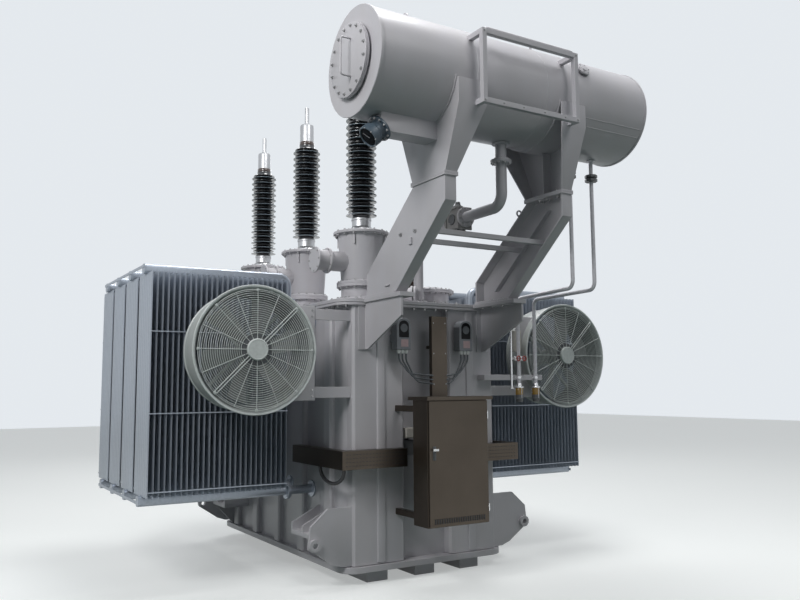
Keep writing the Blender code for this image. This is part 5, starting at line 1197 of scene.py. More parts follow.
class TRANSFORMER_OT_oil_lines(bpy.types.Operator):
    """Oil level gauge, oil pipes with bolted flanges and the gas relay"""

    bl_idname = "transformer.oil_lines"
    bl_label = "Oil lines"

    def execute(self, context):
        self.gauge()
        self.upper()
        self.lower()
        self.relay()
        return {"FINISHED"}

    def gauge(self):
        """Sloping drum with a glass dial, on a flange at the end of its duct."""
        piece("gauge_duct", self.duct(), "plate_paint", bevel=0.003)
        ahead = Vector((-cos(GAUGE_TILT), 0, -sin(GAUGE_TILT)))
        foot = GAUGE_FLANGE_SPOT
        turned(
            "gauge_drum", "gauge_slate", [(0, -0.03), (0.075, -0.03), (0.078, -0.002), (0.098, 0),
            (0.100, 0.002), (0.100, 0.0165), (0.098, 0.018), (0.070, 0.019), (0.066, 0.026),
            (0.066, 0.060), (0.078, 0.070), (0.085, 0.078), (0.085, 0.122), (0.082, 0.134),
            (0.076, 0.138), (0.072, 0.136), (0.070, 0.126), (0, 0.126)], foot, ahead, 64,
            replaces=["oil_level_gauge"],
        )
        turned(
            "gauge_glass", "dark_glass", [(0, 0.1262), (0.0695, 0.1262), (0.0695, 0.1285),
            (0, 0.1300)], foot, ahead, 48,
        )
        bm = bmesh.new()
        bolt_heads(bm, 0.009, ring_places(foot + ahead * 0.018, ahead, 0.088, 12, 0.1))
        bolt_heads(bm, 0.005, ring_places(foot + ahead * 0.137, ahead, 0.0795, 8, 0.3))
        pointer = bmesh.new()
        cube(pointer, (-0.0025, -0.012, 0), (0.0025, 0.052, 0.0016))
        join(
            bm, pointer,
            along(foot + ahead * 0.1296, ahead) @ Matrix.Rotation(radians(35.0), 4, "Z"),
        )
        piece("gauge_bolts", bm, "bolt_steel")

    def duct(self):
        """The duct's own part of the node, cut off at the gauge's flange."""
        bm = node_shape("oil_level_gauge")
        ahead = Vector((-cos(GAUGE_TILT), 0, -sin(GAUGE_TILT)))
        cut = bmesh.ops.bisect_plane(
            bm, geom=bm.verts[:] + bm.edges[:] + bm.faces[:],
            plane_co=GAUGE_FLANGE_SPOT - ahead * 0.001,
            plane_no=ahead, clear_outer=True,
        )["geom_cut"]
        bmesh.ops.holes_fill(
            bm, edges=[e for e in cut if isinstance(e, bmesh.types.BMEdge)], sides=0
        )
        return bm

    def flange(self, bm, place, axis, depth=0.025):
        """A pair of bolted plates with a gasket between them."""
        half, radius = depth / 2, FLANGE_RADIUS
        lathe(bm, [
            (0, 0), (radius - 0.002, 0), (radius, 0.002), (radius, half - 0.0015),
            (radius - 0.002, half - 0.0005), (radius - 0.002, half + 0.0005),
            (radius, half + 0.0015), (radius, depth - 0.002), (radius - 0.002, depth), (0, depth),
        ], place, axis, 40)

    def flange_bolts(self, bm, place, axis, depth=0.025):
        """Bolt heads on both faces of a flange."""
        reach = FLANGE_RADIUS - 0.016
        bolt_heads(bm, 0.009, ring_places(place, -Vector(axis), reach, 8, 0.2))
        bolt_heads(
            bm, 0.009, ring_places(Vector(place) + depth * Vector(axis), axis, reach, 8, 0.2),
        )

    def upper(self):
        """Pipe from the conservator down to the relay."""
        low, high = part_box("oil_pipe_upper")
        x = (low.x + high.x) / 2
        y = middle("conservator_shell").y
        bend_z = low.z + 0.085
        bm, bolts = bmesh.new(), bmesh.new()
        tube(bm, [(x, y, high.z), (x, y, bend_z), (x, high.y, bend_z)], 0.045, 0.11, 32, 12)
        ring = (x, y, OIL_FLANGE_Z)
        self.flange(bm, ring, Z_AXIS)
        self.flange_bolts(bolts, ring, Z_AXIS)
        lathe(
            bm, [(0, -0.012), (0.068, -0.012), (0.070, -0.010), (0.070, -0.002), (0.062, 0.0),
            (0, 0)], (x, y, high.z - 0.001), Z_AXIS, 40,
        )
        self.flange(bm, (x, high.y, bend_z), -Y_AXIS, 0.022)
        self.flange_bolts(bolts, (x, high.y, bend_z), -Y_AXIS, 0.022)
        piece("oil_pipe_top", bm, "plate_paint", replaces=["oil_pipe_upper"])
        piece("oil_pipe_top_bolts", bolts, "bolt_steel")

    def lower(self):
        """Pipe from the relay down to the cover."""
        low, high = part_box("oil_pipe_lower")
        x = (low.x + high.x) / 2
        z = high.z - 0.085
        y = high.y - 0.085
        bm, bolts = bmesh.new(), bmesh.new()
        tube(bm, [(x, low.y, z), (x, y, z), (x, y, low.z)], 0.045, 0.11, 32, 12)
        self.flange(bm, (x, low.y, z), Y_AXIS, 0.022)
        self.flange_bolts(bolts, (x, low.y, z), Y_AXIS, 0.022)
        self.flange(bm, (x, y, low.z), Z_AXIS, 0.03)
        bolt_heads(bolts, 0.009, ring_places((x, y, low.z + 0.03), Z_AXIS, 0.069, 8))
        piece("oil_pipe_base", bm, "plate_paint", replaces=["oil_pipe_lower"])
        piece("oil_pipe_base_bolts", bolts, "bolt_steel")

    def relay(self):
        """Cast relay with square flanges, side windows, a top valve and plugs below."""
        low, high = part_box("gas_relay")
        x, y = (low.x + high.x) / 2, (low.y + high.y) / 2
        top = high.z - 0.06
        bm = bmesh.new()
        cube(
            bm, (low.x + 0.012, low.y + 0.02, low.z + 0.012),
            (high.x - 0.012, high.y - 0.02, top - 0.012),
        )
        for start in (low.y, high.y - 0.018):
            cube(bm, (low.x, start, low.z), (high.x, start + 0.018, top))
        cube(bm, (low.x, low.y + 0.025, top - 0.018), (high.x, high.y - 0.025, top))
        piece("relay_body", bm, "grey_casting", replaces=["gas_relay"], bevel=0.005)
        bm = bmesh.new()
        lathe(
            bm, [(0, 0), (0.045, 0), (0.045, 0.02), (0.030, 0.028), (0.022, 0.045), (0.022, 0.054),
            (0.018, 0.06), (0, 0.06)], (x, y, top), Z_AXIS, 32,
        )
        for side in (-1, 1):
            rim = Vector((low.x + 0.012 if side < 0 else high.x - 0.012, y, low.z + 0.095))
            lathe(
                bm, [(0, -0.004), (0.046, -0.004), (0.046, 0.008), (0.038, 0.010), (0.036, 0.006),
                (0, 0.006)], rim, X_AXIS * side, 32,
            )
        for shift in (-0.045, 0.0, 0.045):
            for across, reach, radius, sides in (
                (0.03, 0.028, 0.013, 12), (-0.03, 0.016, 0.010, 6),
            ):
                spot = Vector((x + across, y + shift, low.z))
                rod(bm, spot + Z_AXIS * 0.014, spot - Z_AXIS * reach, radius, sides)
        piece("relay_fittings", bm, "dark_case")


class TRANSFORMER_OT_cover_fittings(bpy.types.Operator):
    """Cover bolts, tap changer head and low-voltage bushings"""

    bl_idname = "transformer.cover_fittings"
    bl_label = "Cover fittings"

    def execute(self, context):
        self.rim()
        self.tap_head()
        self.low_voltage()
        return {"FINISHED"}

    def rim(self):
        """Flange under the cover and bolts all round it."""
        low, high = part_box("tank_cover")
        corner = 0.16
        bm = bmesh.new()
        cube(
            bm, (low.x + 0.003, low.y + 0.003, low.z - 0.024),
            (high.x - 0.003, high.y - 0.003, low.z - 0.0025),
        )
        rounded(bm, edges_along(bm, Z_AXIS), corner, 10)
        piece("tank_flange", bm, "plate_paint", bevel=0.002)
        bm = bmesh.new()
        inset = 0.045
        places = []
        x, y = high.x - inset, high.y - inset
        bend = corner - inset
        for sign_x in (-1, 1):
            places += [(sign_x * x, v) for v in self.spread(-y + bend, y - bend, 0.115)]
        for sign_y in (-1, 1):
            places += [(v, sign_y * y) for v in self.spread(-x + bend, x - bend, 0.115)]
        for sign_x in (-1, 1):
            for sign_y in (-1, 1):
                places.append((sign_x * (x - bend * 0.293), sign_y * (y - bend * 0.293)))
        clear = [
            (px, py) for px, py in places
            if not (0.45 < abs(px) < 0.66 and abs(py) > 1.3 and py < 0)
        ]
        bolt_heads(bm, 0.015, [Matrix.Translation((px, py, high.z)) for px, py in clear])
        bolt_heads(bm, 0.015, [along((px, py, low.z - 0.024), -Z_AXIS) for px, py in places])
        piece("cover_bolts", bm, "bolt_steel")

    def spread(self, start, end, pitch):
        """Evenly spaced places, as near to a pitch as the length allows."""
        count = round((end - start) / pitch)
        return [start + (end - start) * i / count for i in range(count + 1)]

    def tap_head(self):
        """Domed head with two bolted flanges and a side pipe."""
        low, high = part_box("tap_changer_head")
        centre = ((low.x + high.x) / 2, (low.y + high.y) / 2, low.z)
        bm = bmesh.new()
        lathe(bm, [
            (0, 0), (0.238, 0), (0.24, 0.002), (0.24, 0.028), (0.237, 0.03), (0.192, 0.031),
            (0.19, 0.034), (0.19, 0.136), (0.194, 0.14), (0.237, 0.14), (0.24, 0.142),
            (0.24, 0.153), (0.238, 0.1545), (0.238, 0.1555), (0.24, 0.157), (0.24, 0.168),
            (0.237, 0.17), (0.192, 0.171), (0.185, 0.178), (0.14, 0.196), (0.08, 0.207), (0, 0.21),
        ], centre, Z_AXIS, 72)
        spot = Vector(centre)
        side = [spot + Vector((-0.15, -0.1, 0.085)), spot + Vector((-0.30, -0.16, 0.085))]
        tube(bm, side, 0.03, 0.05, 20)
        piece("tap_head", bm, "plate_paint", replaces=["tap_changer_head"])
        bolted("tap_head_bolts", [
            (0.011, ring_places(spot + Z_AXIS * 0.17, Z_AXIS, 0.216, 24)),
            (0.011, ring_places(spot + Z_AXIS * 0.14, -Z_AXIS, 0.216, 24)),
            (0.011, ring_places(spot + Z_AXIS * 0.03, Z_AXIS, 0.216, 24)),
        ])

    def low_voltage(self):
        """Low box with three short bushings."""
        low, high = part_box("lv_bushings")
        x = (low.x + high.x) / 2
        top = low.z + 0.10
        bm, bolts, glazed, caps = bmesh.new(), bmesh.new(), bmesh.new(), bmesh.new()
        cube(bm, low, (high.x, high.y, top - 0.02))
        cube(bm, (low.x, low.y, top - 0.021), (high.x, high.y, top))
        for index in (-1, 0, 1):
            spot = Vector((x, (low.y + high.y) / 2 + index * 0.42, top - 0.004))
            lathe(
                caps, [(0, 0), (0.098, 0), (0.1, 0.003), (0.1, 0.027), (0.097, 0.03),
                (0.060, 0.034), (0, 0.034)], spot, Z_AXIS, 40,
            )
            profile = [(0, 0.032), (0.054, 0.032)]
            for i in range(8):
                foot = 0.036 + i * 0.0415
                radius = 0.085 if i % 2 == 0 else 0.074
                profile += [(0.052, foot), (radius - 0.006, foot + 0.012), (radius, foot + 0.015),
                            (radius - 0.004, foot + 0.019), (0.055, foot + 0.032)]
            profile += [(0.050, 0.37), (0, 0.37)]
            lathe(glazed, profile, spot, Z_AXIS, 40)
            lathe(
                caps, [(0, 0.368), (0.034, 0.368), (0.036, 0.371), (0.034, 0.385), (0.019, 0.387),
                (0.018, 0.467), (0.016, 0.470), (0, 0.470)], spot, Z_AXIS, 24,
            )
            bolt_heads(bolts, 0.008, ring_places(spot + Z_AXIS * 0.03, Z_AXIS, 0.085, 8))
        piece("lv_box", bm, "plate_paint", replaces=["lv_bushings"], bevel=0.004)
        piece("lv_castings", caps, "cast_aluminium")
        piece("lv_sheds", glazed, "brown_glaze")
        piece("lv_bolts", bolts, "bolt_steel")


class TRANSFORMER_OT_cabinet(bpy.types.Operator):
    """Brushed steel control cabinet with its door, handle, hinges and vents"""

    bl_idname = "transformer.cabinet"
    bl_label = "Control cabinet"

    def execute(self, context):
        piece("cabinet_shell", node_shape("cabinet_body"), "brushed_cabinet",
              replaces=["cabinet_body"], bevel=0.004)
        low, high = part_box("cabinet_door")
        face = low.y + 0.03
        bm = bmesh.new()
        cube(bm, (low.x, face, low.z), (high.x, high.y, high.z))
        cube(
            bm, (low.x + 0.018, face + 0.0195, low.z + 0.018),
            (high.x - 0.018, face + 0.030, high.z - 0.018),
        )
        piece("cabinet_front", bm, "brushed_cabinet", body="door",
              replaces=["cabinet_door"], bevel=0.003)
        self.handle(low, high, face)
        self.vents(low, high, face)
        return {"FINISHED"}

    def handle(self, low, high, face):
        """Swing handle with its lock, and two hinge barrels on the other edge."""
        x, z = low.x + 0.045, 1.075
        plate = bmesh.new()
        cube(plate, (x - 0.014, face - 0.005, z - 0.055), (x + 0.014, face + 0.001, z + 0.055))
        cube(plate, (x - 0.008, face - 0.014, z - 0.050), (x + 0.008, face - 0.004, z + 0.004))
        piece("handle_plate", plate, "dark_case", slot="fastener", body="door", bevel=0.0015)
        bm = bmesh.new()
        lathe(
            bm, [(0, 0.005), (0.012, 0.005), (0.012, 0.018), (0.010, 0.021), (0, 0.021)],
            (x, face, z + 0.028), -Y_AXIS, 24,
        )
        cube(bm, (x - 0.026, face - 0.029, z + 0.019), (x + 0.026, face - 0.018, z + 0.037))
        for level in (low.z + 0.12, high.z - 0.12):
            rod(
                bm, (high.x - 0.001, face - 0.003, level - 0.03),
                (high.x - 0.001, face - 0.003, level + 0.03), 0.0055, 16,
            )
        piece("door_handle", bm, "bright_steel", body="door", bevel=0.0015)

    def vents(self, low, high, face):
        """Row of dark marks along the door's foot, painted shade that stands for the openings of
        its louvres.
        """
        bm = bmesh.new()
        slot = bmesh.new()
        cube(slot, (-0.0055, -0.0012, -0.020), (0.0055, 0.004, 0.020))
        places = row_places(
            (low.x + 0.05, face, low.z + 0.045), (high.x - 0.05, face, low.z + 0.045), 22, Z_AXIS,
        )
        copies(bm, slot, places)
        # Painted shade: dark marks standing for the louvres' openings
        piece("door_vent_shade", bm, "black_rubber_and_hole_shade", body="door")


class TRANSFORMER_OT_ducts(bpy.types.Operator):
    """Cable duct, perforated trays, temperature gauges and their conduits"""

    bl_idname = "transformer.ducts"
    bl_label = "Ducts and gauges"

    def execute(self, context):
        self.riser()
        for side, sign in SIDES:
            piece(f"tray_{side}", node_shape(f"cable_tray_{side}"), "tray_steel",
                  replaces=[f"cable_tray_{side}"], bevel=0.003)
            self.holes(side, sign)
            self.gauge(side, sign)
        return {"FINISHED"}

    def riser(self):
        """Upright duct with a lid whose edges overlap, on two narrow stand-offs."""
        low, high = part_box("cable_riser")
        back = low.y + 0.05
        bm = bmesh.new()
        cube(bm, (low.x + 0.003, low.y + 0.004, low.z), (high.x - 0.003, back, high.z))
        cube(bm, (low.x, low.y, low.z + 0.004), (high.x, low.y + 0.014, high.z - 0.004))
        x = (low.x + high.x) / 2
        for z in (low.z + 0.12, high.z - 0.28):
            cube(bm, (x - 0.015, back - 0.001, z), (x + 0.015, high.y, z + 0.03))
        piece("riser_cover", bm, "brushed_cabinet", replaces=["cable_riser"], bevel=0.002)
        bm = bmesh.new()
        for z in row_heights(low.z + 0.06, high.z - 0.06, 4):
            for side in (low.x + 0.018, high.x - 0.018):
                bolt_heads(bm, 0.005, [along((side, low.y, z), -Y_AXIS)])
        piece("riser_screws", bm, "bolt_steel")

    def holes(self, side, sign):
        """Rows of dark marks in the tray's front, painted shade that stands for its slots."""
        low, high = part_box(f"cable_tray_{side}")
        z = (low.z + high.z) / 2
        start = sign * 0.34
        end = sign * 0.86
        bm = bmesh.new()
        slot = bmesh.new()
        cube(slot, (-0.0065, -0.0006, -0.003), (0.0065, 0.003, 0.003))
        places = []
        for level in (z - 0.045, z - 0.015, z + 0.015, z + 0.045):
            places += row_places((start, low.y, level), (end, low.y, level), 18, Z_AXIS)
        copies(bm, slot, places)
        # Black marks proud of the tray's front: painted shade standing for its slots
        piece(f"tray_slot_shade_{side}", bm, "black_rubber_and_hole_shade")

    def gauge(self, side, sign):
        """Case with an arched window, label plate, glands and conduits."""
        low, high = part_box(f"temperature_gauge_{side}")
        x = (low.x + high.x) / 2
        face = low.y
        bm = node_shape(f"temperature_gauge_{side}")
        piece(f"gauge_case_{side}", bm, "gauge_grey",
              replaces=[f"temperature_gauge_{side}"], bevel=0.006)
        bm = bmesh.new()
        cube(bm, (x - 0.049, face - 0.002, low.z + 0.105), (x + 0.049, face + 0.004, high.z - 0.02))
        edges = [e for e in edges_along(bm, Y_AXIS) if e.verts[0].co.z > low.z + 0.15]
        rounded(bm, edges, 0.046, 8)
        piece(f"gauge_window_{side}", bm, "dark_glass", bevel=0.0015)
        bm = bmesh.new()
        lathe(
            bm, [(0, 0), (0.036, 0), (0.036, 0.0012), (0, 0.0012)],
            (x, face - 0.0021, high.z - 0.085), -Y_AXIS, 32,
        )
        for turn in range(7):
            mark = bmesh.new()
            cube(mark, (0.026, -0.001, 0.0012), (0.033, 0.001, 0.0018))
            stand = along((x, face - 0.0021, high.z - 0.085), -Y_AXIS)
            join(bm, mark, stand @ Matrix.Rotation(radians(-30 + 40 * turn), 4, "Z"))
        piece(f"gauge_dial_{side}", bm, "dial_face")
        bm = bmesh.new()
        cube(
            bm, (x - 0.030, face - 0.0015, low.z + 0.025), (x + 0.042, face + 0.002, low.z + 0.088),
        )
        piece(f"gauge_plate_{side}", bm, "plate_pink", bevel=0.0008)
        self.conduits(side, sign, x, face + 0.028, low.z)

    def conduits(self, side, sign, x, y, z):
        """Three glands under the case, each with a conduit that bends to the riser."""
        glands, lines = bmesh.new(), bmesh.new()
        low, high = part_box("cable_riser")
        edge = low.x if sign < 0 else high.x
        for index, shift in enumerate((-0.036, 0.0, 0.036)):
            spot = x - sign * shift
            rod(glands, (spot, y, z + 0.002), (spot, y, z - 0.022), 0.0168, 6)
            rod(glands, (spot, y, z - 0.020), (spot, y, z - 0.032), 0.014, 16, 0.011)
            drop = 1.72 - 0.035 * index
            slope = spot - sign * 0.10
            tube(lines, [
                (spot, y, z - 0.018), (spot, y, z - 0.09), (slope, y - 0.006, drop),
                (edge - sign * 0.012, y, drop - 0.02),
            ], 0.0075, 0.09, 12, 8)
        piece(f"glands_{side}", glands, "white_nylon")
        piece(f"conduits_{side}", lines, "grey_conduit")


class TRANSFORMER_OT_breathers(bpy.types.Operator):
    """Breather pipes with unions, desiccant jars and rail clamps"""

    bl_idname = "transformer.breathers"
    bl_label = "Breathers"

    def execute(self, context):
        conservator = middle("conservator_shell")
        for name, x_top in (("inner", 0.82), ("outer", 1.07)):
            low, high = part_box(f"breather_pipe_{name}")
            x_low = high.x - 0.042
            y = high.y - 0.042
            bm = bmesh.new()
            tube(bm, [
                (x_top, conservator.y, high.z), (x_top, conservator.y, BREATHER_TURN_Z),
                (x_low, y, BREATHER_TURN_Z), (x_low, y, BREATHER_END_Z),
            ], BREATHER_RADIUS, 0.07, 24, 10)
            lathe(bm, [(0, 0), (0.034, 0), (0.036, 0.002), (0.036, 0.010), (0, 0.010)],
                  (x_top, conservator.y, high.z - 0.010), Z_AXIS, 24)
            piece(f"breather_line_{name}", bm, "pipe_silver", replaces=[f"breather_pipe_{name}"])
            self.union(name, x_top, conservator.y)
            self.jar(name, x_low, y, low.z)
            self.clamp(name, x_low, y)
        return {"FINISHED"}

    def union(self, name, x, y):
        """Union nuts on a breather pipe."""
        bm = bmesh.new()
        for low, high, radius, sides in (
            (0, 0.024, 0.054, 8), (0.023, 0.035, 0.034, 20), (0.034, 0.058, 0.054, 8),
        ):
            rod(bm, (x, y, UNION_Z + low), (x, y, UNION_Z + high), radius, sides)
        piece(f"breather_union_{name}", bm, "dark_case", slot="fastener", bevel=0.002)

    def jar(self, name, x, y, low):
        """Amber jar of beads between a metal head and a dark oil cup."""
        centre = (x, y, low)
        bm = bmesh.new()
        lathe(
            bm, [(0, 0.130), (0.040, 0.130), (0.042, 0.132), (0.042, 0.140), (0.039, 0.143),
            (0.022, 0.147), (0.021, 0.168), (0.019, 0.172), (0, 0.172)], centre, Z_AXIS, 40,
        )
        for turn in range(3):
            angle = 2 * pi * turn / 3 + 0.4
            rod(bm, (x + 0.039 * cos(angle), y + 0.039 * sin(angle), low + 0.034),
                (x + 0.039 * cos(angle), y + 0.039 * sin(angle), low + 0.132), 0.0022, 8)
        piece(f"jar_head_{name}", bm, "bright_steel")
        turned(
            f"jar_{name}", "amber_beads", [(0, 0.034), (0.034, 0.034), (0.036, 0.037),
            (0.036, 0.128), (0.034, 0.131), (0, 0.131)], centre, Z_AXIS, 40,
        )
        turned(
            f"jar_sleeve_{name}", "dark_case", [(0.035, 0.031), (0.0372, 0.031), (0.0372, 0.066),
            (0.035, 0.066)], centre, Z_AXIS, 40,
        )
        turned(
            f"jar_cup_{name}", "dark_case", [(0, 0.0), (0.022, 0.0), (0.030, 0.004), (0.033, 0.012),
            (0.033, 0.028), (0.041, 0.030), (0.041, 0.035), (0.038, 0.037), (0, 0.037)], centre,
            Z_AXIS, 40,
        )

    def clamp(self, name, x, y):
        """Clamp that holds a breather pipe on the rail."""
        low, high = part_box("breather_rail")
        z = (low.z + high.z) / 2
        bm = bmesh.new()
        lathe(
            bm, [(0.0172, -0.011), (0.0205, -0.011), (0.0205, 0.011), (0.0172, 0.011)], (x, y, z),
            Z_AXIS, 28,
        )
        for side in (-1, 1):
            cube(
                bm, (x + side * 0.019 - 0.009, y + 0.012, z - 0.011),
                (x + side * 0.019 + 0.009, y + 0.0174, z + 0.011),
            )
            bolt_heads(bm, 0.005, [along((x + side * 0.030, y + 0.012, z), -Y_AXIS)])
        piece(f"pipe_clamp_{name}", bm, "bright_steel")


class TRANSFORMER_OT_bolts(bpy.types.Operator):
    """Bolts of the brackets, legs, frame and fan plates, and small lugs"""

    bl_idname = "transformer.bolts"
    bl_label = "Bolts and lugs"

    def execute(self, context):
        bm, lugs = bmesh.new(), bmesh.new()
        for side, sign in SIDES:
            self.leg(bm, lugs, side, sign)
            self.fan_plate(bm, side, sign)
        self.frame_bolts(bm)
        self.shell_lug(lugs)
        piece("frame_bolts", bm, "bolt_steel")
        piece("small_lugs", lugs, "plate_paint", bevel=0.002)
        return {"FINISHED"}

    def leg(self, bm, lugs, side, sign):
        """Bolts of a leg's joint and foot, and what is fixed to its side."""
        low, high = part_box(f"lower_leg_{side}")
        foot, top = low.z + 0.02, high.z
        mid_y = middle("conservator_shell").y
        for y in (mid_y - 0.14, mid_y, mid_y + 0.08):
            for x in (0.548, 0.588):
                bolt_heads(bm, 0.014, [
                    along((sign * x, y, top + 0.0163), Z_AXIS),
                    along((sign * x, y, top - 0.016), -Z_AXIS),
                ])
        for y in (high.y - 0.06, high.y - 0.20, high.y - 0.34):
            bolt_heads(bm, 0.011, [along((sign * 0.555, y, foot), Z_AXIS)])
            bolt_heads(bm, 0.011, [along((sign * 0.555, y, foot - 0.055), -Z_AXIS)])
        face = sign * 0.6205
        if side == "left":
            bolt_heads(bm, 0.016, [
                along((face, y, z), X_AXIS * sign) for y, z in LEG_STUDS
            ])
            cube(lugs, (-0.636, -2.21, 2.700), (-0.6185, -2.17, 2.752))
            cube(lugs, (-0.634, -1.87, 2.415), (-0.6185, -1.80, 2.428))
        else:
            cube(lugs, (0.520, mid_y - 0.005, top + 0.017), (0.6065, mid_y + 0.005, 3.53))
            lathe(lugs, [(0.018, -0.006), (0.030, -0.006), (0.030, 0.006), (0.018, 0.006)],
                  (0.5135, -2.135, 3.075), Y_AXIS, 24)

    def fan_plate(self, bm, side, sign):
        """Bolts of a fan's plate."""
        low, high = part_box(f"fan_bracket_{side}")
        face = low.y
        for z in (low.z + 0.035, low.z + 0.085, high.z - 0.085, high.z - 0.035):
            bolt_heads(bm, 0.009, [along((sign * 1.085, face, z), -Y_AXIS)])

    def frame_bolts(self, bm):
        """Bolts of the bar frame."""
        low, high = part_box("conservator_frame")
        for x in (low.x + 0.02, high.x - 0.02):
            for z in (low.z + 0.02, high.z - 0.02):
                bolt_heads(bm, 0.010, [along((x, low.y, z), -Y_AXIS)])
        for share in (0.2, 0.4, 0.62, 0.84):
            bolt_heads(
                bm, 0.008,
                [along((low.x + (high.x - low.x) * share, low.y, low.z + 0.02), -Y_AXIS)],
            )

    def shell_lug(self, lugs):
        """Two lifting eyes on top of the conservator."""
        low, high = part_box("conservator_shell")
        y = (low.y + high.y) / 2
        for x in (low.x + 0.42, high.x - 0.42):
            eye = bmesh.new()
            lathe(
                eye, [(0.018, -0.008), (0.045, -0.008), (0.045, 0.008), (0.018, 0.008)],
                (x, y, high.z + 0.026), X_AXIS, 24,
            )
            cube(
                eye, (x - 0.008, y - 0.045, high.z - 0.006), (x + 0.008, y + 0.045, high.z + 0.012),
            )
            join(lugs, eye)


class TRANSFORMER_OT_small_fittings(bpy.types.Operator):
    """Handrail and valve at the frame, junction box, hose, drain valves and cover fittings"""

    bl_idname = "transformer.small_fittings"
    bl_label = "Small fittings"

    def execute(self, context):
        self.handrail()
        self.column_strips()
        self.wall_box()
        self.hose()
        self.drain_valves()
        self.motor_box()
        self.cover_flange()
        return {"FINISHED"}

    def handrail(self):
        """Tube with rounded ends on top of the conservator, on two posts, and a disc valve."""
        low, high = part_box("conservator_shell")
        centre = middle("conservator_shell")
        y = centre.y - 0.16
        foot = centre.z + (((high.z - low.z) / 2) ** 2 - 0.16 ** 2) ** 0.5 - 0.004
        bm = bmesh.new()
        tube(
            bm, [(-0.20, y, foot), (-0.20, y, high.z + 0.045), (0.76, y, high.z + 0.045),
            (0.76, y, foot)], 0.013, 0.05, 16,
        )
        rod(bm, (0.28, y, foot), (0.28, y, high.z + 0.045), 0.010, 12)
        piece("top_rail", bm, "plate_paint")
        spot = Vector((0.66, centre.y - 0.345, centre.z + 0.20))
        out = Vector((0, -0.87, 0.5))
        bm = bmesh.new()
        lathe(bm, [
            (0, -0.02), (0.035, -0.02), (0.035, 0.012), (0.060, 0.014), (0.062, 0.016),
            (0.062, 0.026), (0.059, 0.028), (0.026, 0.030), (0.024, 0.036), (0, 0.038),
        ], spot, out, 40)
        bolt_heads(bm, 0.006, ring_places(spot + out * 0.028, out, 0.048, 6))
        piece("top_valve", bm, "plate_paint")

    def column_strips(self):
        """Raised strip over the closing weld of each end column."""
        bm = bmesh.new()
        for sign in (-1, 1):
            low, high = sorted((sign * 0.425, sign * 0.505))
            strip = bmesh.new()
            cube(strip, (low, -1.452, 0.17), (high, -1.4395, 2.28))
            edges = [e for e in edges_along(strip, Z_AXIS) if e.verts[0].co.y < -1.445]
            rounded(strip, edges, 0.010, 3)
            join(bm, strip)
        piece("column_strips", bm, "plate_paint")

    def wall_box(self):
        """Small junction box on the end wall, with a gland below."""
        bm = bmesh.new()
        wall = END_WALL_Y
        cube(bm, (-0.215, wall - 0.075, 1.165), (-0.125, wall, 1.255))
        cube(bm, (-0.210, wall - 0.085, 1.170), (-0.130, wall - 0.077, 1.250))
        piece("wall_box", bm, "cream_casting", bevel=0.004)
        bm = bmesh.new()
        cube(bm, (-0.225, wall - 0.06, 1.02), (-0.115, wall, 1.15))
        rod(bm, (-0.17, wall - 0.035, 1.16), (-0.17, wall - 0.035, 1.14), 0.014, 6)
        piece("wall_terminal", bm, "dark_case", bevel=0.004)

    def hose(self):
        """Half ring of black conduit under the corner of the left tray."""
        low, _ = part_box("cable_tray_left")
        bm = bmesh.new()
        x, y, depth = low.x + 0.03, low.y + 0.25, 0.115
        points = [(x, y - 0.22, low.z + 0.004)]
        points += [
            (x, y - 0.22 * cos(pi * i / 12), low.z - 0.01 - depth * sin(pi * i / 12))
            for i in range(13)
        ]
        points.append((x, y + 0.22, low.z + 0.004))
        tube(bm, points, 0.015, 0.02, 14, 2)
        piece("tray_hose", bm, "black_rubber_and_hole_shade", slot="cable")

    def drain_valves(self):
        """Thin drain pipe on the rail with two small valves, and clamps."""
        rail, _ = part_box("breather_rail")
        y = rail.y - 0.011
        bm, knobs, wheels = bmesh.new(), bmesh.new(), bmesh.new()
        tube(
            bm, [(DRAIN_X, y, rail.z - 0.07), (DRAIN_X, y, 2.13), (DRAIN_X, y + 0.10, 2.13)],
            0.0095, 0.03, 16,
        )
        lathe(
            bm, [(0, 0), (0.024, 0), (0.024, 0.007), (0, 0.007)], (DRAIN_X, y, rail.z - 0.078),
            Z_AXIS, 24,
        )
        tube(bm, [(DRAIN_X, y, VALVE_Z), (0.93, y, VALVE_Z), (0.99, y, VALVE_Z)], 0.011, 0.02, 12)
        piece("drain_pipe", bm, "bright_steel")
        for x in (0.915, 0.985):
            lathe(
                knobs, [(0, -0.022), (0.021, -0.022), (0.023, -0.018), (0.023, 0.018),
                (0.021, 0.022), (0, 0.022)], (x, y, VALVE_Z), X_AXIS, 20,
            )
            rod(knobs, (x, y, VALVE_Z), (x, y - 0.045, VALVE_Z), 0.006, 10)
            lathe(
                wheels, [(0.014, -0.004), (0.024, -0.005), (0.027, 0), (0.024, 0.005),
                (0.014, 0.004)], (x, y - 0.048, VALVE_Z), -Y_AXIS, 24,
            )
            cube(
                wheels, (x - 0.018, y - 0.051, VALVE_Z - 0.003),
                (x + 0.018, y - 0.045, VALVE_Z + 0.003),
            )
        piece("valve_bodies", knobs, "cast_aluminium", slot="fastener")
        piece("valve_wheels", wheels, "valve_red")

    def motor_box(self):
        """Cable box with a rounded lid on the right fan's bracket."""
        low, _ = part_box("fan_bracket_right")
        bm = bmesh.new()
        cube(bm, (0.985, low.y - 0.065, 1.93), (1.085, low.y - 0.0005, 2.13))
        edges = [e for e in edges_along(bm, Z_AXIS) if e.verts[0].co.y < low.y - 0.03]
        rounded(bm, edges, 0.035, 6)
        piece("fan_cable_box", bm, "cream_casting", bevel=0.004)

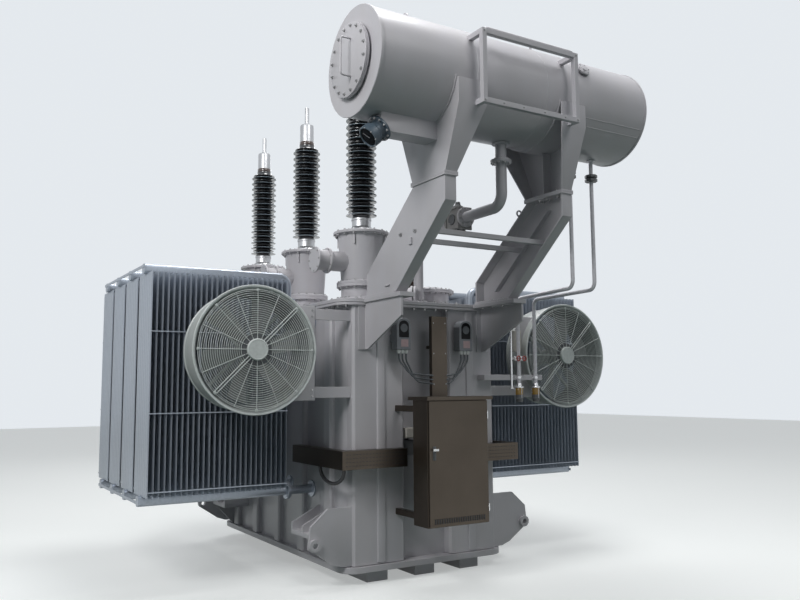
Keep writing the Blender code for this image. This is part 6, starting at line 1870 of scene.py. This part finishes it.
    def cover_flange(self):
        """Blanked pipe stub with its gasket on the cover."""
        _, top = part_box("tank_cover")
        bm, seal = bmesh.new(), bmesh.new()
        spot = Vector((-0.02, -1.27, top.z))
        axis = Vector((0.80, -0.60, 0))
        centre = spot + Z_AXIS * 0.085
        lathe(bm, [
            (0, -0.10), (0.060, -0.10), (0.062, -0.098), (0.062, -0.03), (0.064, -0.025),
            (0.078, -0.024), (0.080, -0.022), (0.080, -0.008), (0.078, -0.006), (0, -0.006),
        ], centre, axis, 40)
        lathe(
            bm, [(0, 0.006), (0.078, 0.006), (0.080, 0.008), (0.080, 0.022), (0.078, 0.024),
            (0, 0.024)], centre, axis, 40,
        )
        cube(
            bm, (spot.x - 0.03, spot.y - 0.03, spot.z - 0.0005),
            (spot.x + 0.03, spot.y + 0.03, spot.z + 0.03),
        )
        lathe(seal, [(0, -0.007), (0.074, -0.007), (0.074, 0.007), (0, 0.007)], centre, axis, 40)
        piece("cover_stub", bm, "plate_paint")
        piece("cover_seal", seal, "black_rubber_and_hole_shade")


class TRANSFORMER_PT_panel(bpy.types.Panel):
    """Buttons for every group of pieces, in the 3D view's sidebar"""

    bl_label = "Transformer"
    bl_idname = "TRANSFORMER_PT_panel"
    bl_space_type = "VIEW_3D"
    bl_region_type = "UI"
    bl_category = "Transformer"

    def draw(self, context):
        for operator in OPERATORS:
            self.layout.operator(operator.bl_idname)
        for group in settings():
            for key in group.__annotations__:
                self.layout.prop(group, key)


GROUPS = (
    ("transformer_colours", TransformerColours),
    ("transformer_stage", TransformerStage),
    ("transformer_sizes", TransformerSizes),
)
OPERATORS = (
    TRANSFORMER_OT_stage,
    TRANSFORMER_OT_finishes,
    TRANSFORMER_OT_plates,
    TRANSFORMER_OT_conservator,
    TRANSFORMER_OT_bushings,
    TRANSFORMER_OT_radiators,
    TRANSFORMER_OT_fans,
    TRANSFORMER_OT_oil_lines,
    TRANSFORMER_OT_cover_fittings,
    TRANSFORMER_OT_cabinet,
    TRANSFORMER_OT_ducts,
    TRANSFORMER_OT_breathers,
    TRANSFORMER_OT_bolts,
    TRANSFORMER_OT_small_fittings,
)


def register():
    for name, group in GROUPS:
        bpy.utils.register_class(group)
        setattr(bpy.types.Scene, name, PointerProperty(type=group))
    for operator in OPERATORS:
        bpy.utils.register_class(operator)
    bpy.utils.register_class(TRANSFORMER_PT_panel)


def unregister():
    bpy.utils.unregister_class(TRANSFORMER_PT_panel)
    for operator in reversed(OPERATORS):
        bpy.utils.unregister_class(operator)
    for name, group in reversed(GROUPS):
        delattr(bpy.types.Scene, name)
        bpy.utils.unregister_class(group)


def main():
    register()
    for operator in OPERATORS:
        group, name = operator.bl_idname.split(".")
        getattr(getattr(bpy.ops, group), name)()


if __name__ == "__main__":
    main()
